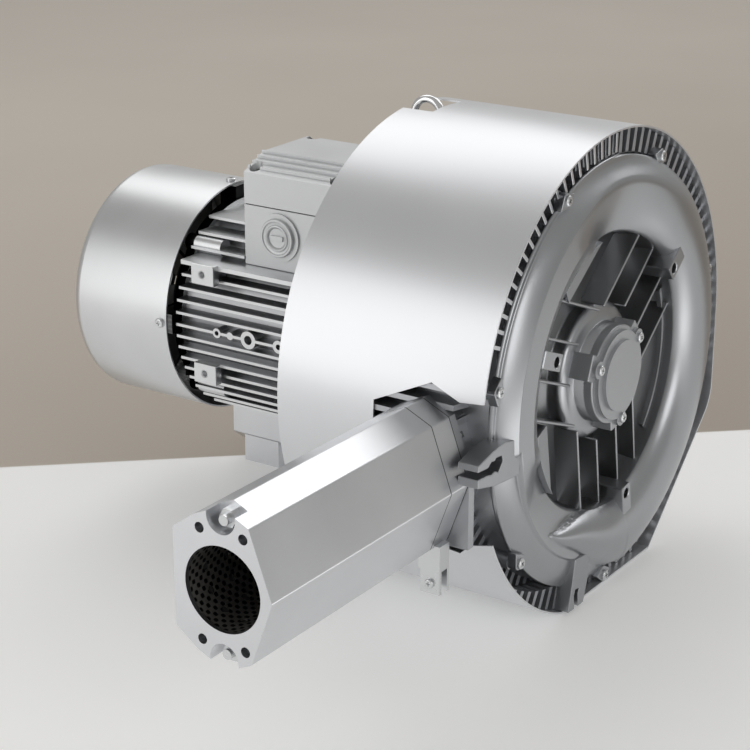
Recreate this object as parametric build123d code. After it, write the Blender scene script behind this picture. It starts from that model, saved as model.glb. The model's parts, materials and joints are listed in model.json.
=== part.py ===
from build123d import *
import math
import os

# Two-stage side channel blower with its own motor, in millimetres.
# The shaft runs along Y, the front cover faces -Y, the intake silencer points to -X.
# Everything is drawn about the shaft axis, then moved so that the origin is the centre of the foot screws.

# Overall
SHAFT_H = 200.0          # shaft axis above the floor
RUN_GAP = 0.5            # impeller to casing
FIT = 0.05               # radial room of a running or screw fit
SCREW_ROOM = 0.25        # radial room of a clearance hole
LOOSE = 0.3              # parts that lie beside each other

# Side channel and stages
CHANNEL_R = 152.0        # centre line of the side channel
CHANNEL_A = 24.0         # half width of the channel, radial
CHANNEL_B = 18.0         # depth of the channel, axial
CHANNEL_FROM = -128.0    # ends of the channel, degrees from +X
CHANNEL_TO = 95.0
STAGE_LEN = 36.0         # impeller chamber, axial
WEB_LEN = 18.0           # metal between the channels of the two stages
CAST_WALL = 6.0
IMPELLER_R = 179.5
IMPELLER_WEB = 6.0
VANES = 44
VANE_T = 3.2
CASING_WALL = 7.0
FIN_ROOM = 0.4           # between the casing fins and the shroud
CASING_FINS = 98
CASING_FIN_T = 5.6
RELIEF_R = 182.0         # round cut that clears the fins of the first stage on the port side
RELIEF_SHIFT = 47.0
RELIEF_TURN = 172.5
RELIEF_DEPTH = 20.0

# Front cover
COVER_T = 8.0            # flange thickness
COVER_R = 188.0
BULGE_A = 30.0
BULGE_B = 16.0
DUCT_R = 170.0           # narrower bulge from the intake to the channel
DUCT_A = 17.0
DUCT_B = 12.0
DUCT_END = 182.0
LAND_Y = 3.0             # flat ring inside the channel bulge
STEP_R = 163.0
STEP_Y = -4.0
RECESS_R = 121.0
RECESS_Y = 28.0          # floor of the ribbed recess
RECESS_WALL = 5.0
RIB_Y = 6.0              # rib tops
RIB_T = 3.0
RIB_OFFSETS = (-50.0, -17.5, 17.5, 50.0)
RIB_TURNS = (158.5, 38.5, -81.5)
BOSS_R = 116.0           # threaded holes of the square bosses
BOSS_FROM = 108.5
BOSS_TO = 139.0
BOSS_W = 15.0
BOSS_Y = -8.0
BOSS_THREAD_R = 4.2
HUB_R = 63.0
HUB_Y = 11.0
NOSE_R = 46.0
NOSE_Y = -6.0
EAR_R = 191.0
EARS = 7
EAR_TURN = 65.3
EAR_SIZE = 11.0
COVER_SCREW_R = 2.5
COVER_SCREW_LEN = 22.0
COVER_HEAD_R = 4.7
LUG_LEN = 62.0
LUG_W = 28.0
LUG_SLOT = 6.0
LUG_PLACES = ((-164.0, -19.0, 180.0), (-59.0, -134.0, -90.0))
CAP_T = 4.0
CAP_DISC_T = 3.0
CAP_SCREW_RING = 40.6
CAP_SCREW_TURN = 38.0
CAP_LOBE_R = 7.5

# Bearings: bore, outer diameter, width
FRONT_BEARING = (25.0, 62.0, 17.0)
DRIVE_BEARING = (30.0, 72.0, 19.0)
FAN_BEARING = (25.0, 52.0, 15.0)
BALLS = 8
BEARING_SEAT_Y = 3.0     # front bearing behind the nose

# Shaft line
SEAT_R = 15.0            # impeller seats and drive end journal
CORE_SEAT_R = 19.0
NUT_THREAD_R = 14.0
NUT_FLATS = 36.0
NUT_T = 9.0
WASHER_T = 3.0
WASHER_R = 21.0
HUB_RING_R = 30.0
HUB1_LEN = 12.5
HUB2_LEN = 18.0
SPACER_R = 22.0
FAN_SEAT_R = 10.0
KEY_W = 8.0
KEY_DEPTH = 4.0
KEY_PROUD = 3.0
SEAL_T = 6.0

# Motor
FRAME_Y = 190.0
FRAME_LEN = 200.0
FRAME_R = 92.0
FRAME_BORE_R = 87.5
FRAME_FIN_R = 105.0
FRAME_FIN_T = 2.6
FRAME_FIN_PITCH = 11.2
FLANGE_R = 108.0
FLANGE_T = 10.0
FLANGE_SCREW_RING = 100.5
STATOR_BORE_R = 52.0
STATOR_LEN = 120.0
STATOR_SLOTS = 24
SLOT_W = 7.0
SLOT_R0 = 56.0
SLOT_R1 = 75.0
WINDING_END = 22.0
AIR_GAP = 0.4
SHIELD_T = 10.0
SHIELD_R = 96.0
SHIELD_SCREW_RING = 96.0
COWL_R = 110.0
COWL_T = 1.5
COWL_Y = 397.6
COWL_LEN = 114.4
COWL_CORNER = 10.0
COWL_SCREW_Y = 404.5
FAN_R = 96.0
FAN_LEN = 40.0
FAN_BLADES = 8
FAN_HUB_R = 17.0
PAD_SIZE = 16.0
PAD_Y = 358.0
PAD_Z = (52.5, -41.8)
SHELF_Z = 61.0
SHELF_X = -100.0

# Terminal box
BOX_X0 = -78.0
BOX_X1 = 25.0
BOX_Y0 = 226.0
BOX_Y1 = 329.0
BOX_Z0 = 61.5
SEAM_Z = 116.5
BOX_GASKET_T = 1.0
LID_EDGE_Z = 146.0
LID_TOP_Z = 159.0
BOX_WALL = 4.5
LID_SCREW_IN = 8.0
BOARD_Z = 99.0
PLUG_Y = 291.0
PLUG_Z = 91.5
PLUG_R = 15.0
PLUG_RING_R = 22.0

# Shroud
SHROUD_R = 211.5
SHROUD_T = 1.5
SHROUD_LEN = 196.0
SHROUD_BASE = 199.0      # below the shaft axis
SHROUD_FLAT_X = 92.0
SHROUD_SIDE_Z = -89.0
NEAR_CORNER = 30.0
FAR_CORNER = 40.0
EYE_Y = 186.0
EYE_RING_R = 14.0
EYE_BAR_R = 3.5
EYE_DROP = 30.0          # seat of the eyebolt, below the top of the shroud

# Feet under the casings
FOOT_X = (-60.0, 62.0)
FOOT_W = 26.0
FOOT_L = 44.0
FOOT_THREAD_R = 4.2
FRONT_FOOT_Y = 50.0
REAR_FOOT_Y = 130.0

# Ports and silencers
PORT_Y = 52.5
PORT_Z = -30.5
PORT_R = 33.0
PORT_FLANGE_X = -213.0
PORT_FLANGE_T = 8.0
ADAPTER_T = 24.0
GASKET_T = 1.0
SILENCER_LEN = 231.0
SILENCER_WALL = 12.0
CAVITY = ((-37, 0), (-25, 34), (-14, 41), (14, 41), (38, 30), (38, -30), (14, -41), (-14, -41), (-25, -34))
HEX = ((-43, 0), (-24, 52), (0, 63), (24, 52), (43, 38), (43, -38), (24, -52), (0, -63), (-24, -52))
STUD_Z = 51.5
STUD_R = 4.0
POCKET_R = 12.5
POCKET_DEPTH = 15.0
END_BOLT_Y = 19.0
END_BOLT_Z = 43.0
END_BOLT_R = 4.0
TUBE_R = 34.5
TUBE_T = 1.0
TUBE_SEAT = 8.0          # depth of the tube's end in the silencer's end wall
TUBE_HOLE_R = 3.0
ADAPTER_BOLT_Y = 25.5
ADAPTER_BOLT_Z = 32.5
ADAPTER_SCREW_R = 2.5
OUT_X = 93.0
OUT_Z = -140.0
OUT_R = 24.0
OUT_BOSS_R = 34.0
OUT_SCREW_RING = 29.5
OUT_AXIS_X = 101.0
OUT_AXIS_Z = -134.0
FOOT_BLOCK_LEN = 42.0
PORT_PLATE = ((-43, -57), (-43, 0), (-24, 52), (0, 63), (24, 52), (43, 38), (43, -38), (24, -52), (0, -60),
              (-12, -57))
EARTH_X = 20.0           # earth terminal, from the far face of the intake adapter

# Screws between the casings
CASING_SCREWS = 8
CASING_SCREW_RING = 194.0
CASING_SCREW_TURN = 22.5
CASING_SCREW_R = 3.0
CASING_BOSS_R = 7.0
CASING_GRIP = 14.0

# Stations along the shaft
CHAMBER1_Y = COVER_T
CHAMBER1_END = CHAMBER1_Y + STAGE_LEN
CHAMBER2_Y = CHAMBER1_END + 2 * CHANNEL_B + WEB_LEN
CHAMBER2_END = CHAMBER2_Y + STAGE_LEN
REAR_WALL_END = CHAMBER2_END + CHANNEL_B + CAST_WALL
CHAMBER_R = IMPELLER_R + RUN_GAP
CASING_R = CHAMBER_R + CASING_WALL
CASING_FIN_R = SHROUD_R - SHROUD_T - FIN_ROOM
EYE_BOSS_Z = SHROUD_R - EYE_DROP
RECESS_BACK = RECESS_Y + RECESS_WALL
WALL_R = RECESS_R + RECESS_WALL
FRONT_BEARING_Y = NOSE_Y + BEARING_SEAT_Y
FRONT_BEARING_END = FRONT_BEARING_Y + FRONT_BEARING[2]
WEB1_Y = RECESS_BACK + 2.5
WASHER_Y = WEB1_Y - WASHER_T
NUT_Y = WASHER_Y - NUT_T
HUB1_END = WEB1_Y + HUB1_LEN
WEB2_Y = CHAMBER2_Y + (STAGE_LEN - IMPELLER_WEB) / 2
HUB2_END = WEB2_Y + HUB2_LEN
DRIVE_BEARING_Y = REAR_WALL_END + 6.0
DRIVE_BEARING_END = DRIVE_BEARING_Y + DRIVE_BEARING[2]
FRAME_END = FRAME_Y + FRAME_LEN
STATOR_Y = FRAME_Y + 36.0
STATOR_END = STATOR_Y + STATOR_LEN
FAN_BEARING_Y = FRAME_END - 8.0
FAN_BEARING_END = FAN_BEARING_Y + FAN_BEARING[2]
SHIELD_END = FRAME_END + SHIELD_T
FAN_Y = FRAME_END + 36.0
COWL_END = COWL_Y + COWL_LEN
ADAPTER_X = PORT_FLANGE_X - GASKET_T
SILENCER_X = ADAPTER_X - ADAPTER_T - GASKET_T
OUT_ADAPTER_Y = SHROUD_LEN + 1.0 + GASKET_T
OUT_SILENCER_Y = OUT_ADAPTER_Y + ADAPTER_T + GASKET_T
BORE_R = HUB_RING_R - 3.0


def turn(degrees):
    return Rot(0, -degrees, 0)


def box(x0, x1, y0, y1, z0, z1):
    return Pos((x0 + x1) / 2, (y0 + y1) / 2, (z0 + z1) / 2) * Box(x1 - x0, y1 - y0, z1 - z0)


def rod(r, y0, y1, x=0.0, z=0.0):
    return Pos(x, (y0 + y1) / 2, z) * Rot(90, 0, 0) * Cylinder(r, y1 - y0)


def rod_x(r, x0, x1, y=0.0, z=0.0):
    return Pos((x0 + x1) / 2, y, z) * Rot(0, 90, 0) * Cylinder(r, x1 - x0)


def rod_z(r, z0, z1, x=0.0, y=0.0):
    return Pos(x, y, (z0 + z1) / 2) * Cylinder(r, z1 - z0)


def tube(ro, ri, y0, y1):
    return rod(ro, y0, y1) - rod(ri, y0 - 1, y1 + 1)


def spun(points):
    """Turn a closed outline of (radius, y) points about the shaft."""
    return revolve(make_face(Polyline(*points, close=True)), Axis.Y)


def prism_y(points, y0, y1):
    """A straight bar along Y from an outline of (x, z) points."""
    face = make_face(Polyline(*[(x, y0, z) for x, z in points], close=True))
    return extrude(face, amount=y1 - y0, dir=(0, 1, 0))


def prism_x(points, x0, x1):
    """A straight bar along X from an outline of (y, z) points."""
    face = make_face(Polyline(*[(x0, y, z) for y, z in points], close=True))
    return extrude(face, amount=x1 - x0, dir=(1, 0, 0))


def ring_arc(r, a, b, y, start, end):
    """Part of a torus with an elliptical section, round the shaft from start to end degrees."""
    section = Pos(r, y, 0) * Ellipse(a, b)
    return turn(start) * revolve(section, Axis((0, 0, 0), (0, -1, 0)), end - start)


def around(shape, radius, y, count, first=0.0):
    step = 360.0 / count
    return [turn(first + i * step) * Pos(radius, y, 0) * shape for i in range(count)]


def toothed(root_r, tip_r, count, root_t, tip_t, y0, y1):
    """A disc with straight radial teeth, for fins and vanes."""
    points = []
    for i in range(count):
        middle = 2 * math.pi * i / count
        for side, r, t in ((-1, root_r, root_t), (-1, tip_r, tip_t), (1, tip_r, tip_t),
                           (1, root_r, root_t)):
            a = middle + side * t / 2 / r
            points.append((r * math.cos(a), r * math.sin(a)))
    return prism_y(points, y0, y1)


def hexagon(flats, y0, y1):
    """A hexagonal bar along Y about the shaft."""
    corner = flats / math.sqrt(3)
    points = [(corner * math.cos(math.radians(60 * i)), corner * math.sin(math.radians(60 * i)))
              for i in range(6)]
    return prism_y(points, y0, y1)


def pan_screw(r, length, head_r, head_h):
    """Head on the -Y side of the origin, shank along +Y, cross recess in the head."""
    head = rod(head_r, -head_h, 0)
    head = fillet(head.edges().sort_by(Axis.Y)[0], head_h * 0.45)
    slot = box(-head_r * 0.5, head_r * 0.5, -head_h - 1, -head_h * 0.5, -head_r * 0.1, head_r * 0.1)
    return head + rod(r, 0, length) - [slot, Rot(0, 90, 0) * slot]


def hex_screw(r, length, flats, head_h):
    return hexagon(flats, -head_h, 0) + rod(r, 0, length)


def socket_screw(r, length, head_r, head_h):
    """Cylinder head on the -Y side of the origin with a hexagon socket."""
    return rod(head_r, -head_h, 0) + rod(r, 0, length) - hexagon(head_r, -head_h - 1, -head_h * 0.4)


# Front cover

def cover_ears():
    """Seven small pads on the rim, one under each cover screw."""
    pad = Rot(0, 45, 0) * Box(EAR_SIZE, COVER_T, EAR_SIZE)
    return around(pad, EAR_R, COVER_T / 2, EARS, EAR_TURN)


def rib_set(angle):
    """Four parallel ribs in the recess with a square boss between them."""
    reach = RECESS_R + RECESS_WALL / 2
    ribs = []
    for offset in RIB_OFFSETS:
        end = math.sqrt(reach ** 2 - offset ** 2)
        start = math.sqrt(HUB_R ** 2 - offset ** 2) - RIB_T
        ribs.append(box(start, end, RIB_Y, RECESS_Y + 1, offset - RIB_T / 2, offset + RIB_T / 2))
    ribs.append(box(BOSS_FROM, reach, BOSS_Y, RECESS_Y + 1, -BOSS_W / 2, BOSS_W / 2))
    ribs.append(box(BOSS_FROM, BOSS_TO, BOSS_Y, COVER_T - 1, -BOSS_W / 2, BOSS_W / 2))
    return [turn(angle) * rib for rib in ribs]


def cover_lug(x, z, angle):
    """Box-shaped clamping lug with a slot near its end."""
    place = Pos(x, 0, z) * turn(angle)
    lug = box(0, LUG_LEN, NOSE_Y, COVER_T, -LUG_W / 2, LUG_W / 2)
    slot = box(LUG_LEN * 0.45, LUG_LEN - 8, NOSE_Y - 1, COVER_T + 1, -LUG_SLOT / 2, LUG_SLOT / 2)
    notch = box(LUG_LEN - 20, LUG_LEN - 13, NOSE_Y - 1, COVER_T + 1, -LUG_SLOT, LUG_SLOT)
    return place * (lug - [slot, notch])


def cover_shell():
    """Turned skin of the cover with the side channel bulge, without the hub."""
    skin = spun([(0, RECESS_Y), (RECESS_R - 3, RECESS_Y), (RECESS_R, LAND_Y + 5), (RECESS_R + 4, LAND_Y),
                 (STEP_R - 1, STEP_Y), (STEP_R + 1, STEP_Y + 2), (178, -1), (COVER_R - 2, 1), (COVER_R, 3),
                 (COVER_R, COVER_T), (WALL_R, COVER_T), (WALL_R, RECESS_BACK), (0, RECESS_BACK)])
    bulges = [ring_arc(CHANNEL_R, BULGE_A, BULGE_B, 0, CHANNEL_FROM, CHANNEL_TO),
              ring_arc(DUCT_R, DUCT_A, DUCT_B, 0, CHANNEL_TO - 12, DUCT_END)]
    for end in (CHANNEL_FROM, CHANNEL_TO):
        bulges.append(turn(end) * Pos(CHANNEL_R, 0, 0) * Rot(0, 0, 90) * scale(Sphere(BULGE_A),
                      (BULGE_B / BULGE_A, 1, 1)))
    slab = rod(COVER_R, -BULGE_A, COVER_T - 3)
    return skin + [bulge & slab for bulge in bulges]


def cap_holes(r, y0, y1):
    return around(rod(r, y0, y1), CAP_SCREW_RING, 0, 3, CAP_SCREW_TURN)


def front_cover():
    hub = spun([(0, RECESS_Y + 1), (HUB_R, RECESS_Y + 1), (HUB_R, HUB_Y + 4), (HUB_R - 4, HUB_Y),
                (NOSE_R + 4, HUB_Y), (NOSE_R, HUB_Y - 4), (NOSE_R, NOSE_Y), (0, NOSE_Y)])
    blocks = around(box(-8, 5, NOSE_Y, HUB_Y + 2, -11, 11), NOSE_R, 0, 3, CAP_SCREW_TURN)
    ribs = [rib for angle in RIB_TURNS for rib in rib_set(angle)]
    lugs = [cover_lug(x, z, angle) for x, z, angle in LUG_PLACES]
    ears = cover_ears()[0] + cover_ears()[1:] & shroud_outline(SHROUD_T + LOOSE, 0, COVER_T)
    body = cover_shell() + ([hub, ears] + blocks + ribs + lugs)
    cuts = [ring_arc(CHANNEL_R, CHANNEL_A, CHANNEL_B, COVER_T, CHANNEL_FROM, CHANNEL_TO),
            ring_arc(DUCT_R, DUCT_A - 6, DUCT_B + 4, COVER_T, CHANNEL_TO - 8, DUCT_END),
            rod(FRONT_BEARING[1] / 2, NOSE_Y - 1, FRONT_BEARING_END), rod(BORE_R, NOSE_Y, RECESS_BACK + 1)]
    cuts += cap_holes(COVER_SCREW_R + FIT, NOSE_Y - 1, NOSE_Y + 16)
    cuts += around(rod(COVER_SCREW_R + SCREW_ROOM, -1, COVER_T + 1), EAR_R, 0, EARS, EAR_TURN)
    cuts += around(rod(COVER_HEAD_R + SCREW_ROOM, -BULGE_B, 0), EAR_R, 0, EARS, EAR_TURN)
    cuts += [turn(a) * rod(BOSS_THREAD_R, BOSS_Y - 1, BOSS_Y + 20, BOSS_R) for a in RIB_TURNS]
    return body - cuts


def bearing_cap():
    """Flat cap over the front bearing with three screw lobes and a short spigot."""
    spigot_r = FRONT_BEARING[1] / 2 - FIT
    y0 = NOSE_Y - CAP_T
    solid = rod(NOSE_R - 7, y0, NOSE_Y) + (
        around(rod(CAP_LOBE_R, y0, NOSE_Y), CAP_SCREW_RING, 0, 3, CAP_SCREW_TURN)
        + [rod(spigot_r, y0 - CAP_DISC_T, FRONT_BEARING_Y)])
    return solid - ([rod(spigot_r - 4, y0, FRONT_BEARING_Y + 1)]
                    + cap_holes(COVER_SCREW_R + SCREW_ROOM, y0 - 5, NOSE_Y + 1))


def cap_screws():
    screw = pan_screw(COVER_SCREW_R, 14, 4.6, 3.2)
    return around(screw, CAP_SCREW_RING, NOSE_Y - CAP_T, 3, CAP_SCREW_TURN)


def cover_screws():
    screw = pan_screw(COVER_SCREW_R, COVER_SCREW_LEN, COVER_HEAD_R, 3.3)
    return around(screw, EAR_R, 0, EARS, EAR_TURN)


# Bearings

def bearing(size, y0):
    """Outer ring, inner ring, and the cage with its balls."""
    bore, outer, width = size
    span = (outer - bore) / 2
    ring = span * 0.28
    pitch = (outer + bore) / 4
    ball_r = span * 0.30
    mid = y0 + width / 2
    groove = Pos(0, mid, 0) * Rot(90, 0, 0) * Torus(pitch, ball_r + FIT)
    outer_ring = tube(outer / 2 - FIT, outer / 2 - ring, y0, y0 + width) - groove
    inner_ring = tube(bore / 2 + ring, bore / 2 + FIT, y0, y0 + width) - groove
    balls = around(Sphere(ball_r), pitch, mid, BALLS)
    cage = tube(pitch + span * 0.12, pitch - span * 0.12, mid - ball_r * 0.8, mid + ball_r * 0.8)
    cage -= around(Sphere(ball_r + FIT), pitch, mid, BALLS)
    return outer_ring, inner_ring, [cage] + balls


def shaft_seals():
    front = tube(BORE_R - FIT, FRONT_BEARING[0] / 2 + FIT, FRONT_BEARING_END, FRONT_BEARING_END + SEAL_T)
    rear = tube(BORE_R - FIT, SPACER_R + FIT, REAR_WALL_END - SEAL_T, REAR_WALL_END)
    return [front, rear]


# Impellers and shaft line

def impeller(chamber_y, web_y, hub_end):
    """Disc with short radial vanes in the side channel and a keyed hub."""
    inner = WALL_R + 1.5
    y0 = chamber_y + RUN_GAP
    y1 = chamber_y + STAGE_LEN - RUN_GAP
    vanes = toothed(inner + 4, IMPELLER_R, VANES, VANE_T, VANE_T, y0, y1) - rod(inner, y0 - 1, y1 + 1)
    disc = rod(IMPELLER_R, web_y, web_y + IMPELLER_WEB)
    body = vanes + [disc, rod(HUB_RING_R, web_y, hub_end)]
    keyway = box(0, SEAT_R + KEY_PROUD + FIT, web_y - 1, hub_end + 1, -KEY_W / 2 - FIT, KEY_W / 2 + FIT)
    return body - [rod(SEAT_R + FIT, web_y - 1, hub_end + 1), keyway]


def key_places():
    return ((WEB1_Y + 1, HUB1_END - 1), (WEB2_Y + 1, HUB2_END - 1))


def shaft():
    journal_end = FAN_BEARING_END + 3
    body = rod(FRONT_BEARING[0] / 2, FRONT_BEARING_Y + 1, NUT_Y - 1) + [
        rod(NUT_THREAD_R, NUT_Y - 1, WEB1_Y + 0.5),
        rod(SEAT_R, WEB1_Y + 0.5, DRIVE_BEARING_END),
        rod(CORE_SEAT_R, DRIVE_BEARING_END, FAN_BEARING_Y),
        rod(FAN_BEARING[0] / 2, FAN_BEARING_Y, journal_end),
        rod(FAN_SEAT_R, journal_end, FAN_Y + FAN_LEN * 0.6)]
    return body - [box(SEAT_R - KEY_DEPTH, SEAT_R + 5, y0, y1, -KEY_W / 2, KEY_W / 2)
                   for y0, y1 in key_places()]


def impeller_keys():
    return [box(SEAT_R - KEY_DEPTH, SEAT_R + KEY_PROUD, y0, y1, -KEY_W / 2, KEY_W / 2)
            for y0, y1 in key_places()]


def impeller_nut():
    return hexagon(NUT_FLATS, NUT_Y, WASHER_Y) - rod(NUT_THREAD_R + FIT, NUT_Y - 1, WASHER_Y + 1)


def spacer_sleeves():
    """Distance sleeves between the impellers and up to the drive end bearing."""
    spans = ((HUB1_END, WEB2_Y), (HUB2_END, DRIVE_BEARING_Y))
    return [tube(SPACER_R, SEAT_R + FIT, y0, y1) for y0, y1 in spans]


# Casings

def feet(y_mid):
    y0, y1 = y_mid - FOOT_L / 2, y_mid + FOOT_L / 2
    return [box(x, x + FOOT_W, y0, y1, -SHAFT_H, -CHAMBER_R * 0.9) for x in FOOT_X]


def foot_threads(y_mid):
    return [rod_z(FOOT_THREAD_R, -SHAFT_H - 1, -SHAFT_H + 16, x + FOOT_W / 2, y_mid) for x in FOOT_X]


def casing_spots(shape):
    return around(shape, CASING_SCREW_RING, 0, CASING_SCREWS, CASING_SCREW_TURN)


def front_casing():
    """Casing between the two impellers, with the intake port on its -X side."""
    y0 = CHAMBER1_Y
    y1 = CHAMBER2_Y
    rim = WALL_R - 8
    mid = (CHAMBER1_END + y1) / 2
    fins = toothed(CASING_R, CASING_FIN_R, CASING_FINS, CASING_FIN_T, CASING_FIN_T * 0.8, y0, y1)
    relief = turn(RELIEF_TURN) * rod(RELIEF_R, y0 - 1, y0 + RELIEF_DEPTH, RELIEF_SHIFT)
    fins -= relief - rod(CASING_R, y0 - 2, y0 + RELIEF_DEPTH + 1)
    duct = at_intake(prism_x([(0.88 * y, 0.88 * z) for y, z in HEX], 1, 45), PORT_FLANGE_X)
    flange = at_intake(prism_x(PORT_PLATE, 0, PORT_FLANGE_T), PORT_FLANGE_X)
    bosses = around(rod(CASING_BOSS_R, y0, y0 + COVER_SCREW_LEN), EAR_R, 0, EARS, EAR_TURN)
    bosses += casing_spots(rod(CASING_BOSS_R, y1 - 26, y1))
    body = fins + bosses & shroud_outline(SHROUD_T + LOOSE, y0, y1)
    body = body + ([duct, flange] + feet(FRONT_FOOT_Y))
    cuts = [rod(CHAMBER_R, y0 - 1, CHAMBER1_END), rod(BORE_R, y0, mid + 4), rod(BORE_R - 3, y0, y1 + 1),
            spun([(HUB_RING_R + 4, CHAMBER1_END - 1), (rim + 4, CHAMBER1_END - 1), (rim, mid - 5),
                  (HUB_RING_R + 4, mid - 5)]),
            spun([(HUB_RING_R + 4, mid + 5), (rim, mid + 5), (rim + 4, y1 + 1), (HUB_RING_R + 4, y1 + 1)]),
            rod(HUB_RING_R + 5, CHAMBER1_END - 1, HUB1_END + 2),
            ring_arc(CHANNEL_R, CHANNEL_A, CHANNEL_B, CHAMBER1_END, CHANNEL_FROM, CHANNEL_TO),
            ring_arc(CHANNEL_R, CHANNEL_A, CHANNEL_B, y1, CHANNEL_FROM, CHANNEL_TO),
            rod_x(PORT_R, PORT_FLANGE_X - 1, -CHANNEL_R, PORT_Y, PORT_Z)]
    cuts += [rod_x(ADAPTER_SCREW_R + FIT, PORT_FLANGE_X - 1, PORT_FLANGE_X + 18, PORT_Y + y, PORT_Z + z)
             for y, z in adapter_spots()]
    cuts += around(rod(COVER_SCREW_R + FIT, y0 - 1, COVER_SCREW_LEN + 1), EAR_R, 0, EARS, EAR_TURN)
    cuts += casing_spots(rod(CASING_SCREW_R + FIT, y1 - 20, y1 + 1))
    return body - (cuts + foot_threads(FRONT_FOOT_Y))


def interstage_seal():
    mid = (CHAMBER1_END + CHAMBER2_Y) / 2
    return tube(BORE_R - FIT, SPACER_R + 2 * FIT, mid - 8, mid + 4)


def rear_casing():
    """Motor-side casing of the second stage: bearing seat, motor spigot and outlet port."""
    y0 = CHAMBER2_Y
    rim = WALL_R - 8
    seat_r = DRIVE_BEARING[1] / 2
    fins = toothed(CASING_R, CASING_FIN_R, CASING_FINS, CASING_FIN_T, CASING_FIN_T * 0.8, y0, REAR_WALL_END)
    rib = box(seat_r + 8, FRAME_R, REAR_WALL_END - 10, FRAME_Y - 16, -2.5, 2.5)
    eye_boss = box(-14, 14, REAR_WALL_END - 4, EYE_Y + 9, CHAMBER_R - 10, EYE_BOSS_Z)
    add_ons = [rod(FLANGE_R, FRAME_Y - 14, FRAME_Y), rod(FLANGE_R - 12, REAR_WALL_END - 10, FRAME_Y),
               rod(OUT_BOSS_R, REAR_WALL_END - 10, OUT_ADAPTER_Y - GASKET_T, OUT_X, OUT_Z), eye_boss]
    add_ons += casing_spots(rod(CASING_BOSS_R, y0, y0 + CASING_GRIP))
    body = fins + add_ons & shroud_outline(SHROUD_T + LOOSE, y0, SHROUD_LEN + 5)
    body = body + feet(REAR_FOOT_Y)
    hollow = spun([(seat_r + 10, REAR_WALL_END - 8), (FRAME_R - 4, REAR_WALL_END - 8),
                   (FRAME_R - 4, FRAME_Y + 1),
                   (seat_r, FRAME_Y + 1), (seat_r, DRIVE_BEARING_END), (seat_r + 10, DRIVE_BEARING_END)])
    cuts = [rod(CHAMBER_R, y0 - 1, CHAMBER2_END), hollow,
            spun([(HUB_RING_R + 6, CHAMBER2_END - 1), (rim + 4, CHAMBER2_END - 1), (rim, CHAMBER2_END + 8),
                  (HUB_RING_R + 6, CHAMBER2_END + 8)]),
            rod(BORE_R, y0, FRAME_Y), rod(seat_r, DRIVE_BEARING_Y, FRAME_Y),
            ring_arc(CHANNEL_R, CHANNEL_A, CHANNEL_B, CHAMBER2_END, CHANNEL_FROM, CHANNEL_TO),
            rod(OUT_R, CHAMBER2_END + 4, SHROUD_LEN + 20, OUT_X, OUT_Z)]
    cuts += casing_spots(rod(CASING_SCREW_R + SCREW_ROOM, y0 - 1, y0 + CASING_GRIP + 1))
    cuts += casing_spots(rod(CASING_BOSS_R + 1, y0 + CASING_GRIP, REAR_WALL_END + 40))
    cuts += [Pos(OUT_X, 0, OUT_Z) * hole for hole in around(
        rod(ADAPTER_SCREW_R + FIT, SHROUD_LEN - 18, SHROUD_LEN + 9), OUT_SCREW_RING, 0, 4, 45)]
    cuts += around(rod(4 + FIT, FRAME_Y - 15, FRAME_Y + 1), FLANGE_SCREW_RING, 0, 4, 45)
    cuts += [rod_z(4 + FIT, EYE_BOSS_Z - 20, EYE_BOSS_Z + 1, 0, EYE_Y)]
    body = body - (cuts + foot_threads(REAR_FOOT_Y))
    return body + around(rib, 0, 0, 8, 22.5)


def casing_screws():
    screw = Pos(0, CHAMBER2_Y + CASING_GRIP, 0) * Rot(180, 0, 0) * hex_screw(
        CASING_SCREW_R, CASING_GRIP + 16, 10, 4)
    return casing_spots(screw)


# Shroud

def shroud_outline(inset, y0, y1):
    """Solid inside of the sheet: round on top, flat base, slanted far corner."""
    r = SHROUD_R - inset
    base = SHROUD_BASE - inset
    run_x = SHROUD_R - SHROUD_FLAT_X
    run_z = SHROUD_BASE + SHROUD_SIDE_Z
    length = math.hypot(run_x, run_z)
    nx, nz = -run_z / length, run_x / length
    px, pz = SHROUD_FLAT_X + nx * inset, -SHROUD_BASE + nz * inset
    flat_x = px + (-base - pz) * run_x / run_z
    side_z = pz + (r - px) * run_z / run_x
    near_x = -math.sqrt(r ** 2 - base ** 2)
    middle = math.radians(0.5 * (180 + math.degrees(math.asin(base / r))))
    edges = [Line((near_x, y0, -base), (flat_x, y0, -base)), Line((flat_x, y0, -base), (r, y0, side_z)),
             Line((r, y0, side_z), (r, y0, 0)),
             ThreePointArc((r, y0, 0), (r * math.cos(middle), y0, r * math.sin(middle)),
                           (near_x, y0, -base))]
    solid = extrude(make_face(edges), amount=y1 - y0, dir=(0, 1, 0))
    long_edges = solid.edges().filter_by(Axis.Y)
    near = long_edges.sort_by_distance((near_x, (y0 + y1) / 2, -base))[0]
    solid = fillet(near, NEAR_CORNER - inset)
    far = solid.edges().filter_by(Axis.Y).sort_by_distance((r, (y0 + y1) / 2, side_z))[0]
    return fillet(far, FAR_CORNER - inset)


def shroud():
    """Rolled sheet round both stages, with a cut-out for the intake and a notch for the eyebolt."""
    opening = [(-5, 36), (22, 33.5), (49, 44), (101, 20), (101, -100), (36, -109), (22, -96), (-5, -88)]
    cut_out = prism_x(opening, -SHROUD_R - 5, -100)
    notch = box(-24, 24, EYE_Y - 20, SHROUD_LEN + 5, SHROUD_R - 20, SHROUD_R + 5)
    half = FOOT_L / 2 + 1
    holes = [box(x - 1, x + FOOT_W + 1, y - half, y + half, -SHAFT_H - 5, -SHROUD_BASE + 5)
             for x in FOOT_X for y in (FRONT_FOOT_Y, REAR_FOOT_Y)]
    skin = shroud_outline(0, 0, SHROUD_LEN) - shroud_outline(SHROUD_T, -1, SHROUD_LEN + 1)
    return skin - ([cut_out, notch] + holes)


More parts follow.
